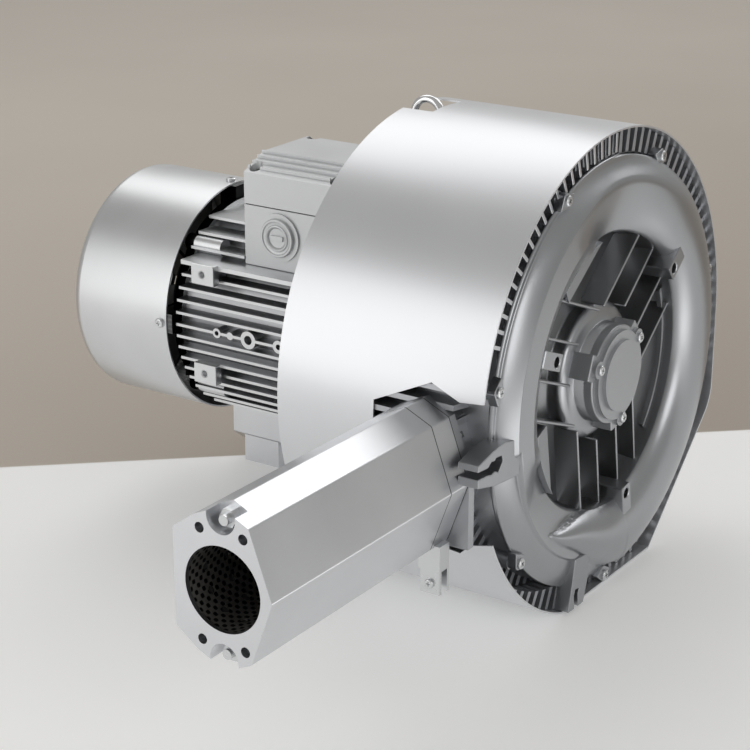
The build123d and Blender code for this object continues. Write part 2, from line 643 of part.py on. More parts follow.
def eyebolt():
    """Lifting eye with a collar, screwed into the boss on the rear casing."""
    ring_z = EYE_BOSS_Z + 5 + EYE_RING_R
    ring = Pos(0, EYE_Y, ring_z) * Rot(0, 90, 0) * Torus(EYE_RING_R, EYE_BAR_R)
    collar = rod_z(9, EYE_BOSS_Z, EYE_BOSS_Z + 3, 0, EYE_Y)
    return ring + [collar, rod_z(4, EYE_BOSS_Z - 16, EYE_BOSS_Z + 7, 0, EYE_Y)]


# Silencers: drawn with the mating face at x = 0, the open end towards -X, the flat side at +Y

def hex_bar(x0, x1):
    return prism_x(HEX, x0, x1)


def adapter_spots():
    return [(y, z) for y in (-ADAPTER_BOLT_Y, ADAPTER_BOLT_Y) for z in (-ADAPTER_BOLT_Z, ADAPTER_BOLT_Z)]


def at_intake(shape, x):
    return Pos(x, PORT_Y, PORT_Z) * shape


def at_outlet(shape, y):
    return Pos(OUT_AXIS_X, y, OUT_AXIS_Z) * Rot(0, 0, -90) * Rot(180, 0, 0) * shape


def studs_at(r, x0, x1):
    return [rod_x(r, x0, x1, 0, z) for z in (-STUD_Z, STUD_Z)]


def silencer_housing():
    body = hex_bar(-SILENCER_LEN, 0)
    body = fillet(body.edges().filter_by(Axis.X), 3.0)
    end = -SILENCER_LEN
    seat_x = end + SILENCER_WALL - TUBE_SEAT
    cuts = [prism_x(CAVITY, end + SILENCER_WALL, 1), rod_x(PORT_R, end - 1, seat_x + 1),
            rod_x(TUBE_R + FIT, seat_x, end + SILENCER_WALL + 1)]
    cuts += studs_at(STUD_R + SCREW_ROOM, end - 1, 1)
    for side in (-1, 1):
        z = side * STUD_Z
        cuts.append(rod_x(POCKET_R, end - 1, end + POCKET_DEPTH, 0, z + side * 3))
        cuts.append(box(end - 1, end + POCKET_DEPTH, -POCKET_R, POCKET_R, min(z + side * 3, side * 80),
                        max(z + side * 3, side * 80)))
    cuts += [rod_x(END_BOLT_R, end - 1, end + 18, y, z) for y in (-END_BOLT_Y, END_BOLT_Y)
             for z in (-END_BOLT_Z, END_BOLT_Z)]
    return body - cuts


def silencer_tube():
    """Perforated lining tube that keeps the foam out of the air stream."""
    x0 = -SILENCER_LEN + SILENCER_WALL
    body = rod_x(TUBE_R, x0 - TUBE_SEAT, 0) - rod_x(TUBE_R - TUBE_T, x0 - TUBE_SEAT - 1, 1)
    holes = [Pos(x0 + 12 + 24 * i, 0, 0) * Rot(30 * j, 0, 0) * Cylinder(TUBE_HOLE_R, 2 * TUBE_R + 4)
             for i in range(9) for j in range(6)]
    return body - holes


def silencer_foam():
    x0 = -SILENCER_LEN + SILENCER_WALL
    return prism_x([(0.98 * y, 0.98 * z) for y, z in CAVITY], x0 + 1, -1) - rod_x(TUBE_R + LOOSE, x0, 0)


def adapter(port_r, port_y, port_z, spots):
    """Flange block between a casing port and a silencer."""
    body = fillet(hex_bar(-ADAPTER_T, 0).edges().filter_by(Axis.X), 3.0)
    cuts = [rod_x(port_r, -ADAPTER_T - 1, 1, port_y, port_z)]
    cuts += studs_at(STUD_R + FIT, -ADAPTER_T - 1, -4)
    for y, z in spots:
        cuts.append(rod_x(ADAPTER_SCREW_R + SCREW_ROOM, -ADAPTER_T - 1, 1, y, z))
        cuts.append(rod_x(4.5, -ADAPTER_T - 1, -ADAPTER_T + 6, y, z))
    return body - cuts


def gasket(port_r, port_y, port_z):
    body = fillet(hex_bar(-GASKET_T, 0).edges().filter_by(Axis.X), 3.0)
    return body - ([rod_x(port_r, -2, 1, port_y, port_z)] + studs_at(STUD_R + 1, -2, 1))


def adapter_screw(x, y, z):
    screw = Rot(0, 0, -90) * socket_screw(ADAPTER_SCREW_R, ADAPTER_T + 8, 4.2, 5)
    return Pos(x, y, z) * screw


def stud_and_nut(z):
    stud = rod_x(STUD_R, -SILENCER_LEN + POCKET_DEPTH - 12, ADAPTER_T * 0.6, 0, z)
    nut = Pos(-SILENCER_LEN + POCKET_DEPTH - 7, 0, z) * Rot(0, 0, -90) * (
        hexagon(13, 0, 7) - rod(STUD_R + FIT, -1, 8))
    return stud, nut


def earth_clip():
    """Forked earth terminal that sits on the lower edge of the intake adapter."""
    saddle = box(-EARTH_X, -6, -30, -10, -72, -50) - hex_bar(-30, 10)
    legs = [box(-EARTH_X, 3 - EARTH_X, -30, -12, -92, -68), box(-9, -6, -30, -12, -92, -68)]
    return saddle + legs - [rod_x(2 + SCREW_ROOM, -EARTH_X - 1, -EARTH_X + 4, -21, -83),
                            rod_x(2 + FIT, -10, -5, -21, -83)]


def earth_screw():
    return Pos(-EARTH_X, -21, -83) * Rot(0, 0, -90) * pan_screw(2, EARTH_X - 6, 4, 2.6)


def outlet_spots():
    """Screw places of the outlet adapter in its own frame."""
    spots = []
    for i in range(4):
        a = math.radians(45 + 90 * i)
        x = OUT_X + OUT_SCREW_RING * math.cos(a) - OUT_AXIS_X
        z = OUT_Z + OUT_SCREW_RING * math.sin(a) - OUT_AXIS_Z
        spots.append((-x, -z))
    return spots


def outlet_gasket_to_casing():
    ring = rod(OUT_BOSS_R, OUT_ADAPTER_Y - GASKET_T, OUT_ADAPTER_Y, OUT_X, OUT_Z)
    holes = [Pos(OUT_X, 0, OUT_Z) * hole for hole in around(
        rod(ADAPTER_SCREW_R + 1, SHROUD_LEN - 18, SHROUD_LEN + 9), OUT_SCREW_RING, 0, 4, 45)]
    return ring - ([rod(OUT_R, SHROUD_LEN - 9, SHROUD_LEN + 9, OUT_X, OUT_Z)] + holes)


def rear_foot():
    """Saddle foot under the far end of the outlet silencer."""
    end = OUT_SILENCER_Y + SILENCER_LEN - 14
    half = abs(HEX[0][0])
    block = box(OUT_AXIS_X - half, OUT_AXIS_X + half, end - FOOT_BLOCK_LEN, end, -SHAFT_H, OUT_AXIS_Z - 36)
    return block - [at_outlet(hex_bar(-SILENCER_LEN - 20, 20), OUT_SILENCER_Y)]


# Motor

def motor_fins():
    """Level fins on both sides of the frame, cut to a round outline."""
    fins = []
    for i in range(-8, 9):
        z = i * FRAME_FIN_PITCH
        reach = math.sqrt(FRAME_FIN_R ** 2 - (abs(z) + FRAME_FIN_T / 2) ** 2)
        half = FRAME_FIN_T / 2
        fins.append(box(-reach, reach, FRAME_Y + FLANGE_T, FRAME_END, z - half, z + half))
    return fins


SPOTS = ((343.0, 4.5, 2.2), (328.0, 3.6, 0.0), (307.6, 8.2, 4.2), (274.0, 6.0, 2.6))


def motor_frame():
    """Finned stator frame with its front flange, side pads and the seat of the terminal box."""
    y0 = FRAME_Y
    parts = motor_fins() + [rod(FLANGE_R, y0, y0 + FLANGE_T)]
    parts += around(rod(8, FRAME_END - 30, FRAME_END), SHIELD_SCREW_RING, 0, 4, 45)
    parts.append(box(SHELF_X, -70, BOX_Y0 - 4, FRAME_END - 4, SHELF_Z - 4, SHELF_Z))
    for z in PAD_Z:
        parts.append(box(-FRAME_FIN_R, -80, PAD_Y - PAD_SIZE / 2, PAD_Y + PAD_SIZE / 2, z - 7, z + 7))
    for y, r, hole in SPOTS:
        parts.append(rod_x(r, -FRAME_FIN_R, -FRAME_R + 2, y, 0))
    body = rod(FRAME_R, y0, FRAME_END) + parts
    room = box(BOX_X0 - 6, BOX_X1 + LOOSE, BOX_Y0 - LOOSE, BOX_Y1 + LOOSE, BOX_Z0 - LOOSE, FRAME_FIN_R + 20)
    cuts = [rod(FRAME_BORE_R, y0 - 1, FRAME_END + 1), room - rod(FRAME_R, y0, FRAME_END)]
    cuts += around(rod(4 + SCREW_ROOM, y0 - 1, y0 + FLANGE_T + 1), FLANGE_SCREW_RING, 0, 4, 45)
    cuts += around(rod(8.2, y0 + FLANGE_T, y0 + FLANGE_T + 34), FLANGE_SCREW_RING, 0, 4, 45)
    cuts += around(rod(3 + FIT, FRAME_END - 22, FRAME_END + 1), SHIELD_SCREW_RING, 0, 4, 45)
    cuts += [rod_x(3, -FRAME_FIN_R - 1, -FRAME_R - 1, PAD_Y, z) for z in PAD_Z]
    cuts += [rod_x(hole, -FRAME_FIN_R - 1, -FRAME_R - 1, y, 0) for y, r, hole in SPOTS if hole]
    return body - cuts


def slot_bars(margin, y0, y1):
    bar = box(SLOT_R0 + margin, SLOT_R1 - margin, y0, y1, -SLOT_W / 2 + margin, SLOT_W / 2 - margin)
    return around(bar, 0, 0, STATOR_SLOTS)


def stator_core():
    ring = tube(FRAME_BORE_R - FIT, STATOR_BORE_R, STATOR_Y, STATOR_END)
    return ring - slot_bars(0, STATOR_Y - 1, STATOR_END + 1)


def windings():
    """Coils in the stator slots, joined by the end windings at both ends."""
    ends = [tube(SLOT_R1 + 3, SLOT_R0 + 1, STATOR_Y - WINDING_END, STATOR_Y - 4),
            tube(SLOT_R1 + 3, SLOT_R0 + 1, STATOR_END + 4, STATOR_END + WINDING_END)]
    return ends[0] + ([ends[1]] + slot_bars(LOOSE, STATOR_Y - 8, STATOR_END + 8))


def rotor_core():
    """Laminated core with the cast end rings of the cage."""
    r = STATOR_BORE_R - AIR_GAP
    body = rod(r, STATOR_Y, STATOR_END) + [rod(r - 4, STATOR_Y - 12, STATOR_END + 12)]
    bore = rod(CORE_SEAT_R + FIT, STATOR_Y - 20, STATOR_END + 20)
    return body - [bore, rod(r - 20, STATOR_Y - 20, STATOR_Y), rod(r - 20, STATOR_END, STATOR_END + 20)]


def rear_shield():
    """Bearing shield at the fan end, with four lugs that carry the cowl."""
    seat_r = FAN_BEARING[1] / 2
    lug = box(SHIELD_R - 20, COWL_R, FRAME_END + 2, COWL_SCREW_Y + 6, -9, 9) & rod(
        COWL_R - COWL_T - FIT, FRAME_END, FRAME_END + 30)
    parts = [rod(seat_r + 9, FAN_BEARING_Y, SHIELD_END + 2),
             tube(FRAME_BORE_R - FIT, FRAME_BORE_R - 8, FRAME_END - 6, FRAME_END + 1)]
    parts += around(rod(8, FRAME_END, SHIELD_END), SHIELD_SCREW_RING, 0, 4, 45) + around(lug, 0, 0, 4)
    body = rod(SHIELD_R, FRAME_END, SHIELD_END) + parts
    cuts = [rod(seat_r, FAN_BEARING_Y - 1, FAN_BEARING_END),
            rod(CORE_SEAT_R - 3, FAN_BEARING_Y, SHIELD_END + 9)]
    cuts += around(rod(3 + SCREW_ROOM, FRAME_END - 1, SHIELD_END + 1), SHIELD_SCREW_RING, 0, 4, 45)
    cuts += around(rod_x(2.5 + FIT, COWL_R - 18, COWL_R + 1, COWL_SCREW_Y), 0, 0, 4)
    return body - cuts


def shield_screws():
    screw = Pos(0, SHIELD_END, 0) * Rot(180, 0, 0) * hex_screw(3, SHIELD_T + 18, 10, 4)
    return around(screw, SHIELD_SCREW_RING, 0, 4, 45)


def motor_screws():
    screw = Pos(0, FRAME_Y + FLANGE_T, 0) * Rot(180, 0, 0) * hex_screw(4, FLANGE_T + 13, 13, 5.3)
    return around(screw, FLANGE_SCREW_RING, 0, 4, 45)


def cooling_fan():
    hub_end = FAN_Y + FAN_LEN * 0.6
    blade = box(FAN_HUB_R - 3, FAN_R, FAN_Y + 3, FAN_Y + FAN_LEN, -1.5, 1.5)
    parts = [rod(FAN_R * 0.62, FAN_Y, FAN_Y + 4)] + around(blade, 0, 0, FAN_BLADES)
    return rod(FAN_HUB_R, FAN_Y, hub_end + 4) + parts - rod(FAN_SEAT_R + FIT, FAN_Y - 1, hub_end)


def fan_cowl():
    """Deep drawn cover with a slotted rear face."""
    skin = fillet(rod(COWL_R, COWL_Y, COWL_END).edges().sort_by(Axis.Y)[-1], COWL_CORNER)
    room = fillet(rod(COWL_R - COWL_T, COWL_Y - 5, COWL_END - COWL_T).edges().sort_by(Axis.Y)[-1],
                  COWL_CORNER - COWL_T)
    spokes = [turn(45 * i) * box(-COWL_R, COWL_R, COWL_END - 9, COWL_END + 9, -4, 4) for i in range(4)]
    slots = [tube(26 + 12 * i, 20 + 12 * i, COWL_END - 8, COWL_END + 8) for i in range(6)]
    holes = around(rod_x(2.5 + SCREW_ROOM, COWL_R - 5, COWL_R + 5, COWL_SCREW_Y), 0, 0, 4)
    return skin - ([room] + [slot - spokes for slot in slots] + holes)


def cowl_screws():
    screw = Rot(0, 0, 90) * pan_screw(2.5, 14, 4.6, 3)
    return around(screw, COWL_R, COWL_SCREW_Y, 4)


# Terminal box

def lid_corners():
    return [(x, y) for x in (BOX_X0 + LID_SCREW_IN, BOX_X1 - LID_SCREW_IN)
            for y in (BOX_Y0 + LID_SCREW_IN, BOX_Y1 - LID_SCREW_IN)]


def terminal_box():
    """Box cast to sit on the round frame, with a threaded hole for the blanking plug."""
    w = BOX_WALL
    outer = box(BOX_X0, BOX_X1, BOX_Y0, BOX_Y1, BOX_Z0, SEAM_Z)
    inner = box(BOX_X0 + w, BOX_X1 - w, BOX_Y0 + w, BOX_Y1 - w, BOX_Z0, SEAM_Z + 1) - rod(
        FRAME_R + w, BOX_Y0 - 5, BOX_Y1 + 5)
    posts = [rod_z(5.5, BOX_Z0 + 12, SEAM_Z, x, y) for x, y in lid_corners()]
    seat = box(-45, 5, 252, 303, FRAME_R, BOARD_Z)
    ring = rod_x(PLUG_RING_R, BOX_X0 - 2, BOX_X0, PLUG_Y, PLUG_Z)
    body = outer - inner + (posts + [seat, ring])
    cuts = [rod(FRAME_R + FIT, BOX_Y0 - 5, BOX_Y1 + 5),
            rod_x(PLUG_R + FIT, BOX_X0 - 3, BOX_X0 + w + 1, PLUG_Y, PLUG_Z)]
    cuts += [rod_z(2 + FIT, SEAM_Z - 16, SEAM_Z + 1, x, y) for x, y in lid_corners()]
    return body - cuts


def terminal_gasket():
    w = BOX_WALL
    z = SEAM_Z + BOX_GASKET_T
    rim = box(BOX_X0 + 1, BOX_X1 - 1, BOX_Y0 + 1, BOX_Y1 - 1, SEAM_Z, z)
    posts = [rod_z(5.5, SEAM_Z, z, x, y) for x, y in lid_corners()]
    body = rim - box(BOX_X0 + w, BOX_X1 - w, BOX_Y0 + w, BOX_Y1 - w, SEAM_Z - 1, z + 1) + posts
    return body - [rod_z(2.5, SEAM_Z - 1, z + 1, x, y) for x, y in lid_corners()]


def terminal_lid():
    """Lid with a slanted near edge, four long ribs and screw pockets in its corners."""
    z0 = SEAM_Z + BOX_GASKET_T
    w = BOX_WALL
    profile = [(BOX_X0, z0), (BOX_X0, LID_EDGE_Z), (BOX_X0 + 30, LID_TOP_Z), (BOX_X1 - 6, LID_TOP_Z),
               (BOX_X1, LID_TOP_Z - 6), (BOX_X1, z0)]
    hollow = [(BOX_X0 + w, z0 - 1), (BOX_X0 + w, LID_EDGE_Z - w), (BOX_X0 + 30, LID_TOP_Z - w),
              (BOX_X1 - w - 3, LID_TOP_Z - w), (BOX_X1 - w, LID_TOP_Z - w - 3), (BOX_X1 - w, z0 - 1)]
    slope = (LID_TOP_Z - LID_EDGE_Z) / 30
    ribs = []
    for i in range(4):
        x = 6 + 7 * i
        low = LID_EDGE_Z + slope * x
        ribs.append(box(BOX_X0 + x, BOX_X0 + x + 2, BOX_Y0, BOX_Y1, low - 2, low + 2.5))
    room = box(BOX_X0, BOX_X1, BOX_Y0, BOX_Y1, z0, LID_EDGE_Z)
    posts = [rod_z(8.5, z0, LID_EDGE_Z - 4, x, y) & room for x, y in lid_corners()]
    body = prism_y(profile, BOX_Y0, BOX_Y1) - prism_y(hollow, BOX_Y0 + w, BOX_Y1 - w) + ribs + posts
    cuts = [rod_z(6, LID_EDGE_Z - 10, LID_TOP_Z + 9, x, y) for x, y in lid_corners()]
    cuts += [rod_z(2 + SCREW_ROOM, z0 - 1, LID_TOP_Z, x, y) for x, y in lid_corners()]
    return body - cuts


def lid_screws():
    length = LID_EDGE_Z - 10 - SEAM_Z + 12
    screw = Rot(-90, 0, 0) * pan_screw(2, length, 4.2, 3)
    return [Pos(x, y, LID_EDGE_Z - 10) * screw for x, y in lid_corners()]


def terminal_board():
    """Insulating block with six studs and nuts."""
    block = box(-44, 4, 253, 302, BOARD_Z, BOARD_Z + 8)
    studs = [rod_z(2.5, BOARD_Z + 8, BOARD_Z + 15, x, y) for x in (-32, -8) for y in (262, 277.5, 293)]
    return block + studs


def blanking_plug():
    """Slotted plug in the cable entry."""
    x0 = BOX_X0 - 2
    neck = rod_x(PLUG_R, x0, BOX_X0 + BOX_WALL, PLUG_Y, PLUG_Z)
    body = rod_x(PLUG_R + 2.5, x0 - 3, x0, PLUG_Y, PLUG_Z) + [neck]
    return body - box(x0 - 4, x0 - 1.5, PLUG_Y - 8, PLUG_Y + 8, PLUG_Z - 2, PLUG_Z + 2)


NODES = {}


def add(name, shape):
    solids = shape if isinstance(shape, list) else [shape]
    place = Pos(-(FOOT_X[0] + FOOT_X[1] + FOOT_W) / 2, -(FRONT_FOOT_Y + REAR_FOOT_Y) / 2, SHAFT_H)
    NODES[name] = [place * s for s in solids]


def add_bearing(name, size, y0):
    outer_ring, inner_ring, balls = bearing(size, y0)
    add(name + "_outer_ring", outer_ring)
    add(name + "_inner_ring", inner_ring)
    add(name + "_balls", balls)


def build_blower():
    add("front_cover", front_cover())
    add("cover_screws", cover_screws())
    add("bearing_cap", bearing_cap())
    add("bearing_cap_screws", cap_screws())
    add_bearing("front_bearing", FRONT_BEARING, FRONT_BEARING_Y)
    add_bearing("drive_bearing", DRIVE_BEARING, DRIVE_BEARING_Y)
    add("shaft_seals", shaft_seals())
    add("interstage_seal", interstage_seal())
    add("front_casing", front_casing())
    add("rear_casing", rear_casing())
    add("casing_screws", casing_screws())
    add("front_impeller", impeller(CHAMBER1_Y, WEB1_Y, HUB1_END))
    add("rear_impeller", impeller(CHAMBER2_Y, WEB2_Y, HUB2_END))
    add("shaft", shaft())
    add("impeller_keys", impeller_keys())
    add("impeller_nut", impeller_nut())
    add("lock_washer", tube(WASHER_R, NUT_THREAD_R + FIT, WASHER_Y, WEB1_Y))
    add("spacer_sleeves", spacer_sleeves())
    add("shroud", shroud())
    add("eyebolt", eyebolt())


def build_silencers():
    outlet_place = (OUT_AXIS_X - OUT_X, OUT_AXIS_Z - OUT_Z)
    outlet_port = (OUT_R,) + outlet_place
    add("intake_adapter", at_intake(adapter(PORT_R, 0, 0, adapter_spots()), ADAPTER_X))
    add("outlet_adapter", at_outlet(adapter(*outlet_port, outlet_spots()), OUT_ADAPTER_Y))
    screws = [at_intake(adapter_screw(-ADAPTER_T + 6, y, z), ADAPTER_X) for y, z in adapter_spots()]
    screws += [at_outlet(adapter_screw(-ADAPTER_T + 6, y, z), OUT_ADAPTER_Y) for y, z in outlet_spots()]
    add("adapter_screws", screws)
    first = gasket(PORT_R, 0, 0) - [rod_x(ADAPTER_SCREW_R + 1, -2, 1, y, z) for y, z in adapter_spots()]
    second = gasket(TUBE_R - TUBE_T, 0, 0)
    add("silencer_gaskets", [at_intake(first, PORT_FLANGE_X), at_intake(second, ADAPTER_X - ADAPTER_T),
                             outlet_gasket_to_casing(), at_outlet(second, OUT_SILENCER_Y - GASKET_T)])
    add("intake_silencer", at_intake(silencer_housing(), SILENCER_X))
    add("outlet_silencer", at_outlet(silencer_housing(), OUT_SILENCER_Y))
    add("intake_tube", at_intake(silencer_tube(), SILENCER_X))
    add("outlet_tube", at_outlet(silencer_tube(), OUT_SILENCER_Y))
    add("intake_foam", at_intake(silencer_foam(), SILENCER_X))
    add("outlet_foam", at_outlet(silencer_foam(), OUT_SILENCER_Y))
    studs = []
    nuts = []
    for z in (-STUD_Z, STUD_Z):
        stud, nut = stud_and_nut(z)
        studs += [at_intake(stud, SILENCER_X), at_outlet(stud, OUT_SILENCER_Y)]
        nuts += [at_intake(nut, SILENCER_X), at_outlet(nut, OUT_SILENCER_Y)]
    add("silencer_studs", studs)
    add("silencer_nuts", nuts)
    add("rear_foot", rear_foot())
    add("earth_clip", at_intake(earth_clip(), ADAPTER_X))
    add("earth_screw", at_intake(earth_screw(), ADAPTER_X))


def build_motor():
    add("motor_frame", motor_frame())
    add("motor_screws", motor_screws())
    add("stator_core", stator_core())
    add("windings", windings())
    add("rotor_core", rotor_core())
    add_bearing("fan_bearing", FAN_BEARING, FAN_BEARING_Y)
    add("rear_shield", rear_shield())
    add("shield_screws", shield_screws())
    add("cooling_fan", cooling_fan())
    add("fan_cowl", fan_cowl())
    add("cowl_screws", cowl_screws())
    add("terminal_box", terminal_box())
    add("terminal_gasket", terminal_gasket())
    add("terminal_lid", terminal_lid())
    add("lid_screws", lid_screws())
    add("terminal_board", terminal_board())
    add("blanking_plug", blanking_plug())


def write():
    os.makedirs("parts", exist_ok=True)
    for name, solids in NODES.items():
        shape = solids[0] if len(solids) == 1 else Compound(children=solids)
        export_step(shape, "parts/" + name + ".step")


build_blower()
build_silencers()
build_motor()
write()
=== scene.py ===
import json
import math

import bpy
import numpy as np
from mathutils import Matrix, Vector


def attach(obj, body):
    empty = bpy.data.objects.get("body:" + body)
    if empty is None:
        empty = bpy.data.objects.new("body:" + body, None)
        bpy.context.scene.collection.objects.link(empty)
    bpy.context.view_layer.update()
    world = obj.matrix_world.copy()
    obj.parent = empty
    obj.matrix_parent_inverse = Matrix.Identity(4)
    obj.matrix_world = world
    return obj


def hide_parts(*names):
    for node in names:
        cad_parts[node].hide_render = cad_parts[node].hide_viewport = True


# Side channel blower. Lengths are millimetres about the shaft axis, unless a comment says
# otherwise: x to the right, z up and y towards the motor, with y = 0 at the front edge of the
# shroud. place() turns them into the frame's metres. Colours are linear.
AXIS = np.array((-14.0, -90.0, 200.0))
MM = 0.001


def place(points):
    """Points in millimetres about the shaft axis as points of the frame, in metres."""
    return (np.asarray(points, float).reshape(-1, 3) + AXIS) * MM


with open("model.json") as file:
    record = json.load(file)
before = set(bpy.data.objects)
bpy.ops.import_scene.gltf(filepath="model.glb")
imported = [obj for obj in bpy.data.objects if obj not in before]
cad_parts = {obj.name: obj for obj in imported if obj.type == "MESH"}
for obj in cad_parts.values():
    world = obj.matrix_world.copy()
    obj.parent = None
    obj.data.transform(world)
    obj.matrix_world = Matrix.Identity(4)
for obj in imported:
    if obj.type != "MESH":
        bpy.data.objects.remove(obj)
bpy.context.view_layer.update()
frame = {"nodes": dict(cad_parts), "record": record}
nodes = frame["nodes"]


# Node helpers

def principled(name, color, rough, metal=0.0):
    """A new material and its shader."""
    material = bpy.data.materials.new(name)
    material.use_nodes = True
    shader = material.node_tree.nodes["Principled BSDF"]
    shader.inputs["Base Color"].default_value = (*color, 1.0)
    shader.inputs["Roughness"].default_value = rough
    shader.inputs["Metallic"].default_value = metal
    return material, shader


def feed(tree, value, socket):
    """Link an output to the socket, or set a plain value on it."""
    if hasattr(value, "links"):
        tree.links.new(value, socket)
    else:
        socket.default_value = value


def new_group(name, inputs, outputs):
    """A node group with its named inputs and outputs, and its two end nodes."""
    group = bpy.data.node_groups.new(name, "ShaderNodeTree")
    for label, kind, value in inputs:
        socket = group.interface.new_socket(name=label, in_out="INPUT", socket_type=kind)
        socket.default_value = value
    for label, kind in outputs:
        group.interface.new_socket(name=label, in_out="OUTPUT", socket_type=kind)
    return group, group.nodes.new("NodeGroupInput"), group.nodes.new("NodeGroupOutput")


def math_node(tree, kind, a, b=None):
    node = tree.nodes.new("ShaderNodeMath")
    node.operation = kind
    feed(tree, a, node.inputs[0])
    if b is not None:
        feed(tree, b, node.inputs[1])
    return node.outputs[0]


def product(tree, first, *others):
    """All the values multiplied."""
    for other in others:
        first = math_node(tree, "MULTIPLY", first, other)
    return first


def range_node(tree, value, low, high, to_low=0.0, to_high=1.0):
    """The value mapped from low..high to to_low..to_high, and held at its ends."""
    node = tree.nodes.new("ShaderNodeMapRange")
    limits = {"From Min": low, "From Max": high, "To Min": to_low, "To Max": to_high}
    for label, limit in limits.items():
        node.inputs[label].default_value = limit
    tree.links.new(value, node.inputs["Value"])
    return node.outputs[0]


def mix_color(tree, factor, a, b):
    """Colour a, turning into b as the factor goes to 1. Of a Mix node's sockets, 6, 7 and the
    output 2 are those for colours."""
    node = tree.nodes.new("ShaderNodeMix")
    node.data_type = "RGBA"
    for slot, value in ((0, factor), (6, a), (7, b)):
        feed(tree, value, node.inputs[slot])
    return node.outputs[2]


def noise_node(tree, vector, scale, detail):
    node = tree.nodes.new("ShaderNodeTexNoise")
    feed(tree, scale, node.inputs["Scale"])
    node.inputs["Detail"].default_value = detail
    tree.links.new(vector, node.inputs["Vector"])
    return node.outputs["Fac"]


def object_coordinates(tree):
    """Object coordinates in metres, whole and as x, y and z."""
    coords = tree.nodes.new("ShaderNodeTexCoord").outputs["Object"]
    split = tree.nodes.new("ShaderNodeSeparateXYZ")
    tree.links.new(coords, split.inputs[0])
    return coords, split.outputs


# Cast surface: the detail of its fine and its broad noise, the broad one's scale for one metre, and
# the height of the bump in metres

FINE_DETAIL = 3.0
MOTTLE_SCALE = 14.0
MOTTLE_DETAIL = 4.0
BUMP_DISTANCE = 0.0004


def cast_group():
    """Colour and roughness mottling with a fine bead-blasted bump, on Object coordinates."""
    group, given, out = new_group(
        "cast_surface",
        [("Color", "NodeSocketColor", (0.5, 0.5, 0.5, 1)),
         ("Roughness", "NodeSocketFloat", 0.4),
         ("Grain Size", "NodeSocketFloat", 900.0),
         ("Bump", "NodeSocketFloat", 0.05),
         ("Mottle", "NodeSocketFloat", 0.08)],
        [("Color", "NodeSocketColor"),
         ("Roughness", "NodeSocketFloat"),
         ("Normal", "NodeSocketVector")])
    links = group.links
    coords = group.nodes.new("ShaderNodeTexCoord").outputs["Object"]
    fine = noise_node(group, coords, given.outputs["Grain Size"], FINE_DETAIL)
    broad = noise_node(group, coords, MOTTLE_SCALE, MOTTLE_DETAIL)
    bump = group.nodes.new("ShaderNodeBump")
    bump.inputs["Distance"].default_value = BUMP_DISTANCE
    links.new(given.outputs["Bump"], bump.inputs["Strength"])
    links.new(fine, bump.inputs["Height"])
    swing = math_node(group, "SUBTRACT", broad, 0.5)
    swing = product(group, swing, given.outputs["Mottle"])
    factor = math_node(group, "ADD", 1.0, product(group, swing, 2.0))
    tint = group.nodes.new("ShaderNodeVectorMath")
    tint.operation = "SCALE"
    links.new(given.outputs["Color"], tint.inputs[0])
    links.new(factor, tint.inputs["Scale"])
    rough = math_node(group, "ADD", given.outputs["Roughness"], swing)
    links.new(tint.outputs[0], out.inputs["Color"])
    links.new(rough, out.inputs["Roughness"])
    links.new(bump.outputs["Normal"], out.inputs["Normal"])
    return group


CAST = cast_group()


def cast_metal(name, color, rough, metal=1.0, grain=900.0, bump=0.05, mottle=0.08):
    """A finish whose colour, roughness and normal come from the cast surface."""
    material, shader = principled(name, color, rough, metal)
    tree = material.node_tree
    surface = tree.nodes.new("ShaderNodeGroup")
    surface.node_tree = CAST
    values = {"Color": (*color, 1.0), "Roughness": rough, "Grain Size": grain,
              "Bump": bump, "Mottle": mottle}
    for label, value in values.items():
        surface.inputs[label].default_value = value
    for output, socket in (("Color", "Base Color"), ("Roughness", "Roughness"),
                           ("Normal", "Normal")):
        tree.links.new(surface.outputs[output], shader.inputs[socket])
    return material


def color_sockets(material):
    """A cast finish's tree, the colour that its surface puts out, and its shader's base colour."""
    tree = material.node_tree
    surface = next(node for node in tree.nodes if node.type == "GROUP")
    return tree, surface.outputs["Color"], tree.nodes["Principled BSDF"].inputs["Base Color"]


def shaft_coordinates(tree):
    """Object coordinates about the shaft axis, in metres: x, y, z and the radius."""
    _, corner = object_coordinates(tree)
    centre = place((0, 0, 0))[0]
    x, y, z = (math_node(tree, "SUBTRACT", corner[k], float(centre[k])) for k in range(3))
    square = math_node(tree, "ADD", product(tree, x, x), product(tree, z, z))
    return x, y, z, math_node(tree, "SQRT", square)


# Finishes that change over a piece, most of them with painted shade in gaps and hollows. Their
# lengths are metres about the shaft axis, and each pair runs from where a colour starts to show to
# where it shows fully.

# Painted shade in the motor's fin gaps and in the gap between the frame and its cowl
FIN_GAP_RADIUS = (0.1035, 0.101)
FIN_GAP_HEIGHT = (0.062, 0.056)
FIN_GAP_PAINTED_SHADE = (0.38, 0.385, 0.395, 1)
COWL_GAP_FRONT = (0.3901, 0.3903)
COWL_GAP_BACK = (0.5, 0.499)
COWL_GAP_RADIUS = (0.1086, 0.1084)
COWL_GAP_PAINTED_SHADE = (0.006, 0.006, 0.006, 1)


